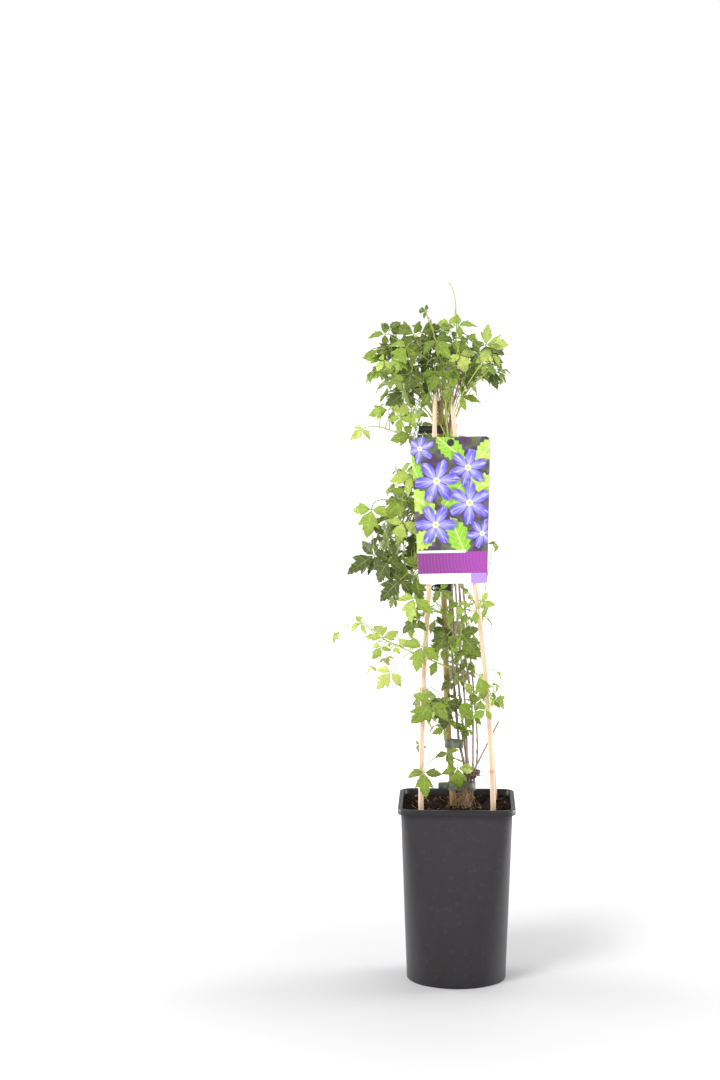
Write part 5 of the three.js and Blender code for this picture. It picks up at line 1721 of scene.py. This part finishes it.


# Clouds with low tones, behind the card's left edge, beside the top tie and low in the crown, are dark leaves
# set where shadow falls: painted shade.
THICKETS = (
    Thicket(8, (-55, 6, 520), (20, 30, 50), 34, (14, 24), (-0.4, 0.0), 14, 0.08),
    Thicket(6, (0, -12, 400), (20, 14, 56), 12, (14, 24), (0.1, 0.5), 10, 0.06),
    Thicket(2, (2, -12, 325), (24, 14, 34), 8, (12, 21), (0.2, 0.6), 10, 0.06),
    Thicket(9, (-50, 8, 600), (14, 26, 40), 12, (13, 22), (-0.15, 0.3), 14, 0.06),
    Thicket(10, (-40, 6, 650), (16, 22, 14), 9, (11, 18), (0.0, 0.3), 12, 0.06),
    Thicket(11, (-58, -5, 730), (46, 44, 36), 28, (15, 28), (-0.15, 0.4), 34, 0.05, (0.3, 4.5)),
    Thicket(12, (-30, 2, 744), (44, 44, 34), 34, (15, 27), (-0.35, 0.25), 40, 0.05, (0.4, 5.0)),
    Thicket(13, (-4, 0, 738), (36, 44, 38), 26, (15, 26), (-0.3, 0.4), 40, 0.05, (0.4, 5.0)),
    Thicket(15, (26, 0, 737), (32, 38, 34), 18, (14, 26), (-0.1, 0.6), 34, 0.05, (0.3, 4.5)),
    Thicket(10, (-62, -4, 676), (38, 34, 20), 7, (14, 24), (0.5, 0.8), 14),
    Thicket(8, (-74, -8, 522), (30, 34, 42), 20, (14, 26), (-0.15, 0.3), 14),
    Thicket(9, (-62, -2, 590), (24, 34, 40), 8, (13, 24), (0.2, 0.55), 14),
    Thicket(5, (-50, -5, 452), (34, 36, 28), 9, (13, 22), (0.3, 0.6), 10),
    Thicket(6, (-12, 4, 395), (34, 40, 42), 9, (13, 22), (0.25, 0.6), 10),
    Thicket(4, (-70, -4, 392), (40, 30, 30), 7, (10, 18), (0.75, 0.95), 8),
    Thicket(7, (24, -2, 430), (24, 34, 40), 8, (10, 18), (0.4, 0.75), 10),
    Thicket(7, (46, -4, 520), (3, 3, 3), 2, (12, 16), (0.2, 0.5), 10, 0.1),
    Thicket(3, (34, 0, 352), (22, 34, 30), 5, (10, 17), (0.45, 0.75), 10),
    Thicket(1, (-14, -4, 318), (30, 34, 30), 5, (12, 20), (0.4, 0.65), 10),
)


@dataclass
class CrownStems:
    """Slender stems that fan out of the top tie into the crown, most of them to the left, with a leaf each.

    leans are degrees to the side, and depths shares of the length towards the back.
    """

    count: int = 34
    foot: Point = (-15.0, -4.0, 640.0)
    leans: Span = (-55, 28)
    depths: Span = (-0.58, 0.15)
    lengths: Span = (60, 116)
    leaf_lengths: Span = (14, 24)
    crowding: float = 0.12
    seed: int = 21
    leaf_seed: int = 9000

    def grow(self, draw: np.random.Generator, number: int, room: Room) -> list[Surface]:
        """Carries a tapering circle up out of the tie and over to its side, with a leaf if the air is free.

        Args:
            draw: the random numbers.
            number: the stem's number, which seeds its leaf.
            room: the air, in which the new leaf is marked.

        Returns:
            The stem's and the leaf's surfaces.
        """
        lean, depth = math.radians(draw.uniform(*self.leans)), draw.uniform(*self.depths)
        length = draw.uniform(*self.lengths)
        start = np.array(self.foot) + draw.uniform((-8, -5, 0), (8, 6, 10))
        rise = start + length * np.array([0.12 * math.sin(lean), 0.0, 0.4])
        bow = start + length * np.array([0.6 * math.sin(lean), 0.6 * depth, 0.72]) + draw.normal(0, 3, 3)
        end = start + length * np.array([math.sin(lean), depth, math.cos(lean)])
        tone = draw.choice([0.1, 0.6, 0.8, 1.0])
        facing = math.degrees(lean) + draw.uniform(-40, 40)
        heading = 90 - math.degrees(lean) + draw.uniform(-60, 60) - 130 * np.sign(lean) * draw.random()
        leaf = Leaf(0, *end, heading, draw.uniform(*self.leaf_lengths), facing, 3, draw.uniform(0, 1.6))
        parts = leaf.blades(self.leaf_seed + number, draw.uniform(0.1, 0.8))
        parts = parts if room.crowding(parts) <= self.crowding else []
        room.fill(parts)
        return [sweep(bezier(start, rise, bow, end, 30), (0.85, 0.36), 8, 1, tone)] + parts

    def build(self, room: Room, finishes: Sequence[Material]) -> None:
        """Makes the stems."""
        draw = np.random.default_rng(self.seed)
        parts = [part for number in range(self.count) for part in self.grow(draw, number, room)]
        make_piece("crown_stems", parts, finishes)


@dataclass
class Foliage:
    """All the leafy shoots, front and back, in the CAD's order, the smaller leaves between, and the crown."""

    room: Room
    blade: Blade = Blade()
    stalk: Stalk = Stalk()
    crown: CrownStems = field(default_factory=CrownStems)

    def build(self) -> None:
        """Makes the shoots, then fills in the smaller leaves and the crown's stems clear of them."""
        finishes = [self.blade.dress(), self.stalk.dress()]
        shoots = (*SHOOTS, *(back_shoot(k, *row) for k, row in enumerate(BACK_SHOOTS)))
        seed = 0
        for one in shoots:
            parts, seed = one.grow(seed)
            self.room.fill(parts)
            make_piece(one.name.replace("shoot", "leaves"), parts, finishes, [one.name])
        for number, thicket in enumerate(THICKETS):
            curve = catmull_rom(shoots[thicket.shoot].curve(), np.linspace(0.1, 1, 80))
            make_piece(f"small_leaves_{number}", thicket.grow(curve, self.room, number), finishes)
        self.crown.build(self.room, finishes)


# ---------------------------------------------------------------- ties and card


@dataclass
class Tie:
    """A band round canes and stems, with a loose tail on some.

    post is one more circle, (x, y, radius), for the root strands, and tail runs (x0, y0, x1, y1).
    """

    name: str
    finish: Tape
    foot: float
    canes: tuple[int, ...]
    stems: tuple[int, ...] = ()
    post: tuple[Point, ...] = ()
    tail: Optional[tuple[float, float, float, float]] = None
    width: float = 9.5
    thickness: float = 0.9
    stations: int = 144

    def members(self) -> Array:
        """Returns the circles of the canes and stems at the band's foot and head, grown by the clearance."""
        held = [(CANES[k].radius, CANES[k].route) for k in self.canes] + [WOODY_STEMS[k] for k in self.stems]
        levels = (self.foot, self.foot + self.width)
        spots = [(*height_on(route, z)[:2], radius + CLEARANCE) for radius, route in held for z in levels]
        return np.array([*spots, *self.post])

    def outline(self, grow: float, angles: Array) -> Array:
        """Runs round the circles' hull: at each angle, the circle that reaches furthest, at its own edge."""
        members = self.members()
        ways = np.stack([np.cos(angles), np.sin(angles)], axis=1)
        best = members[np.argmax(ways @ members[:, :2].T + members[:, 2], axis=1)]
        return best[:, :2] + ways * (best[:, 2:] + grow)

    def band(self) -> Surface:
        """Carries a flat rounded section of ten points, t across and z up, round the outline, as a ring."""
        angles = turns(self.stations)
        inner, outer = (self.outline(grow, angles)[:, None] for grow in (0.05, self.thickness * 0.9))
        t = np.array([0, 0, 0, 0.25, 0.75, 1, 1, 1, 0.75, 0.25])
        z = np.array([1, 0.5, 0, -0.02, -0.02, 0.06, 0.5, 0.94, 1.02, 1.02])
        wave = 0.12 * np.sin(5 * angles)[:, None] * np.sin(np.pi * z)
        flat = inner * (1 - t)[:, None] + outer * t[:, None]
        rings = np.concatenate([flat, (self.foot + self.width * z + wave)[..., None]], axis=-1)
        quads, uv = lattice(self.stations + 1, len(t), wrap=True)
        return Surface(rings.reshape(-1, 3), quads % (self.stations * len(t)), uv)

    def strip(self) -> Surface:
        """Carries a flat rectangle from the band out to the tail's end, curling a little."""
        start, end = np.array(self.tail).reshape(2, 2)
        t = np.linspace(0, 1, 14)[:, None]
        way = end - start
        beside = unit(np.array([-way[1], way[0]]))
        middle = start + t * way + 0.7 * np.sin(np.pi * t) * beside
        half = self.thickness * 0.42
        corners = [(-half, 0.5), (half, 0.5), (half, self.width - 0.5), (-half, self.width - 0.5)]
        sides = [np.column_stack([middle + side * beside, self.foot + z + 0 * t]) for side, z in corners]
        return revolve(np.stack(sides, axis=1), t[:, 0])

    def build(self, finish: Material) -> None:
        """Makes the band and its tail."""
        parts = [self.band()] + ([self.strip()] if self.tail else [])
        make_piece(self.name + "_band", parts, [finish], [self.name])


TIE_TAPE = Tape("tie_tape", (0.115, 0.128, 0.100), (0.30, 0.31, 0.24), 0.55)
BLACK_TIE = Tape("black_tie", (0.010, 0.010, 0.012), (0.035, 0.036, 0.04), 0.42)
TIES = (
    Tie("tie_low", TIE_TAPE, 227, (3,), (0, 1), ((15.5, -1.8, 6.2),), (-22, -4.5, -10.5, -2.5)),
    Tie("tie_middle", TIE_TAPE, 278, (3,), (0,), (), (7, -13, 5, -8)),
    Tie("tie_upper", BLACK_TIE, 464, (3,), (0,), (), (-27, -10, -20.5, -4)),
    Tie("tie_top", BLACK_TIE, 650.5, (2, 3), (), (), (-46, -8, -25.4, -4.5)),
)


@dataclass
class Eyelet:
    """A small black ring on the upper tie's tail: a circle carried round a circle that faces the front."""

    centre: Point = (-27.5, -11.4, 469.0)
    radius: float = 2.6
    thickness: float = 1.0
    around: int = 40
    sides: int = 12

    def build(self, finish: Material) -> None:
        """Makes the ring."""
        a, b = turns(self.around)[:, None], turns(self.sides)
        out = self.radius + self.thickness * np.cos(b)
        ring = np.stack([np.cos(a) * out, self.thickness * np.sin(b) + 0 * a, np.sin(a) * out], axis=-1)
        quads, uv = lattice(self.around + 1, self.sides, wrap=True)
        quads = quads[:, ::-1] % (self.around * self.sides)
        made = Surface(ring.reshape(-1, 3) + np.array(self.centre), quads, uv[:, ::-1])
        make_piece("tail_eyelet", [made], [finish])


def about(axis: int, degrees: float) -> Array:
    """Returns the matrix that turns points about a world axis, numbered from x."""
    turn = math.radians(degrees)
    made = np.eye(3)
    second, third = (axis + 1) % 3, (axis + 2) % 3
    made[second, second] = made[third, third] = math.cos(turn)
    made[third, second], made[second, third] = math.sin(turn), -math.sin(turn)
    return made


@dataclass
class Card:
    """The hanging picture card with its push button, in the CAD's tilted frame."""

    place: Point = (-9.0, -22.1, 647.5)
    tilt: float = 1.3
    lean: float = 3.8
    top_width: float = 93.0
    foot_width: float = 79.5
    height: float = 171.0
    thickness: float = 0.8
    bow: float = 0.5
    top_corner: float = 6.0
    foot_corner: float = 4.0
    button_radius: float = 4.1
    button_drop: float = 6.5
    card_finish: PrintedCard = PrintedCard()
    button_finish: Tape = Tape("black_button", (0.010, 0.010, 0.011), (0.02, 0.02, 0.021), 0.32)

    def hang(self, made: Surface) -> Surface:
        """Turns a surface from the card's own frame by its tilt and lean, and moves it to its place."""
        made.points = made.points @ (about(0, -self.lean) @ about(1, -self.tilt)).T + np.array(self.place)
        return made

    def half_width(self, drop: Array) -> Array:
        """Half the card's width at a drop from its top: a straight taper, drawn in by quarter circles."""
        width = (self.top_width + (self.foot_width - self.top_width) * drop / self.height) / 2
        for near, corner in ((drop, self.top_corner), (self.height - drop, self.foot_corner)):
            short = np.clip(corner - near, 0, corner)
            width = width - corner + np.sqrt(corner**2 - short**2)
        return width

    def sheet(self) -> Surface:
        """Lays both faces as one tube of rings from top to foot, slightly bowed: front, then back."""
        top = self.top_corner * (1 - np.cos(np.linspace(0, np.pi / 2, 9)))
        foot = self.height - self.foot_corner * (1 - np.cos(np.linspace(np.pi / 2, 0, 8)))
        rows = np.concatenate([top, np.linspace(8, 165, 30), foot])[:, None]
        across = np.linspace(-1, 1, 25)
        x = self.half_width(rows) * across
        bow = self.bow * (1 - across**2) * np.sin(np.pi * rows / self.height)
        depths = -self.thickness * np.array([0.95, 0.1])
        front, back = (np.stack([x, depth - bow, -rows + 0 * x], axis=-1) for depth in depths)
        made = revolve(np.concatenate([front[:, ::-1], back], axis=1), -rows[:, 0])
        centimetres = made.points[:, ::2] * (0.1, -0.1)
        made.quad_uv, made.tri_uv = centimetres[made.quads], centimetres[made.tris]
        made.under = np.concatenate([np.tile(np.repeat([0.0, 1.0], len(across)), len(rows)), [0, 0]])
        return self.hang(made)

    def button(self) -> Surface:
        """Turns the button's profile about its pin: a domed head, dimpled, a neck and a flange behind."""
        r, back = self.button_radius, self.thickness + 2 * CLEARANCE
        reach, y = np.array([
            (0.4, -1.55), (1.0, -1.62), (1.3, -1.8), (r * 0.6, -1.78), (r * 0.85, -1.35), (r * 0.97, -0.8),
            (r, -0.3), (r, 0), (1.95, 0), (1.95, back), (r - 0.7, back), (r - 0.6, back + 0.1),
            (r - 0.6, back + 0.7), (0.4, back + 0.7),
        ]).T[:, :, None]
        angle = turns(48)
        rings = np.stack([reach * np.cos(angle), y + 0 * angle, -reach * np.sin(angle)], axis=-1)
        rings += np.array([0, -self.thickness - CLEARANCE, -self.button_drop])
        return self.hang(revolve(rings, np.linspace(0, 1, len(reach))))

    def build(self) -> None:
        """Makes the card and the button."""
        print_ink, black = self.card_finish.dress(), self.button_finish.dress()
        make_piece("picture_card_print", [self.sheet()], [print_ink], ["picture_card"])
        make_piece("push_button", [self.button()], [black], ["card_button"])


# ---------------------------------------------------------------- studio


@dataclass(frozen=True)
class Lamp:
    """A square soft light: where it hangs and what it looks at in metres, its width and its power."""

    name: str
    place: Point
    aim: Point
    size: float
    power: float

    def hang(self) -> None:
        """Makes the light."""
        data = bpy.data.lights.new(self.name, "AREA")
        data.shape, data.size, data.energy = "SQUARE", self.size, self.power
        lamp = bpy.data.objects.new(self.name, data)
        lamp.location = self.place
        lamp.rotation_euler = (Vector(self.aim) - Vector(self.place)).to_track_quat("-Z", "Y").to_euler()
        bpy.context.scene.collection.objects.link(lamp)


@dataclass
class Studio:
    """Pale floor under white air, soft lights and the camera that stands where the photographer stood."""

    camera_back: float = 3.074
    camera_height: float = 0.827
    camera_pitch: float = 5.62
    camera_yaw: float = 2.145
    lens: float = 87.37
    sensor: float = 36.0
    floor_rings: tuple[float, ...] = (0.001, 0.5, 2.0, 8.0, 40.0)
    floor_points: int = 64
    air_heights: Span = (0.2, 0.45)
    air_strengths: Span = (1.02, 0.2)
    lamps: tuple[Lamp, ...] = (
        Lamp("key", (-1.3, -2.0, 2.3), (0, 0, 0.4), 1.0, 70),
        Lamp("fill", (2.0, -1.6, 1.3), (0, 0, 0.4), 1.6, 8),
        Lamp("top", (0.2, 0.6, 2.6), (0, 0, 0.4), 1.2, 24),
        Lamp("left_wall", (-1.4, 0.5, 0.35), (0, 0, 0.12), 0.8, 19),
        Lamp("right_wall", (1.4, 0.5, 0.35), (0, 0, 0.12), 0.8, 26),
    )

    def floor(self) -> None:
        """Lays a wide round floor as rings of points about the pot."""
        angle = turns(self.floor_points)
        disc = np.stack([np.cos(angle), np.sin(angle), 0 * angle], axis=-1)
        points = np.array(self.floor_rings)[:, None, None] * disc
        quads = lattice(len(self.floor_rings), self.floor_points, wrap=True)[0][:, ::-1]
        mesh = bpy.data.meshes.new("studio_floor")
        mesh.from_pydata(points.reshape(-1, 3).tolist(), [], quads.tolist())
        mesh.polygons.foreach_set("use_smooth", np.full(len(mesh.polygons), True))
        mesh.materials.append(StudioFloor().dress())
        floor = bpy.data.objects.new("studio_floor", mesh)
        bpy.context.scene.collection.objects.link(floor)

    def air(self) -> None:
        """Sets the light of the air itself: white low down, then softer towards the top."""
        world = bpy.data.worlds.new("studio_air")
        world.use_nodes = True
        tree = world.node_tree
        glow = tree.nodes["Background"]
        kinds = ("ShaderNodeTexCoord", "ShaderNodeSeparateXYZ", "ShaderNodeMapRange")
        way, split, fade = (tree.nodes.new(kind) for kind in kinds)
        for number, value in enumerate((*self.air_heights, *self.air_strengths), 1):
            fade.inputs[number].default_value = value
        for start, end in ((way.outputs["Generated"], split), (split.outputs[2], fade)):
            tree.links.new(start, end.inputs[0])
        tree.links.new(fade.outputs[0], glow.inputs["Strength"])
        glow.inputs["Color"].default_value = (1, 1, 1, 1)
        bpy.context.scene.world = world

    def camera(self) -> None:
        """Stands the camera before the plant, a little above it."""
        data = bpy.data.cameras.new("camera")
        data.lens, data.sensor_width, data.sensor_fit = self.lens, self.sensor, "AUTO"
        camera = bpy.data.objects.new("camera", data)
        camera.location = (0, -self.camera_back, self.camera_height)
        camera.rotation_euler = (math.radians(90 - self.camera_pitch), 0, math.radians(self.camera_yaw))
        bpy.context.scene.collection.objects.link(camera)
        bpy.context.scene.camera = camera

    def build(self) -> None:
        """Makes the floor, the lights, the air's own light and the camera."""
        self.floor()
        for lamp in self.lamps:
            lamp.hang()
        self.air()
        bpy.context.scene.view_settings.view_transform = "Standard"
        self.camera()


def main() -> None:
    """Builds every sub-assembly in order."""
    logging.basicConfig(level=logging.INFO, format="%(message)s")
    Studio().build()
    Pot().build()
    SoilBed().build()
    bamboo = {kind: kind.value.dress() for kind in CaneKind}
    room = Room()
    for cane in CANES:
        room.fill(cane.build(bamboo[cane.kind]))
    WoodyStems().build()
    Foliage(room).build()
    tapes = {tape: tape.dress() for tape in (TIE_TAPE, BLACK_TIE)}
    for tie in TIES:
        tie.build(tapes[tie.finish])
    Eyelet().build(tapes[BLACK_TIE])
    Card().build()


if __name__ == "__main__":
    main()
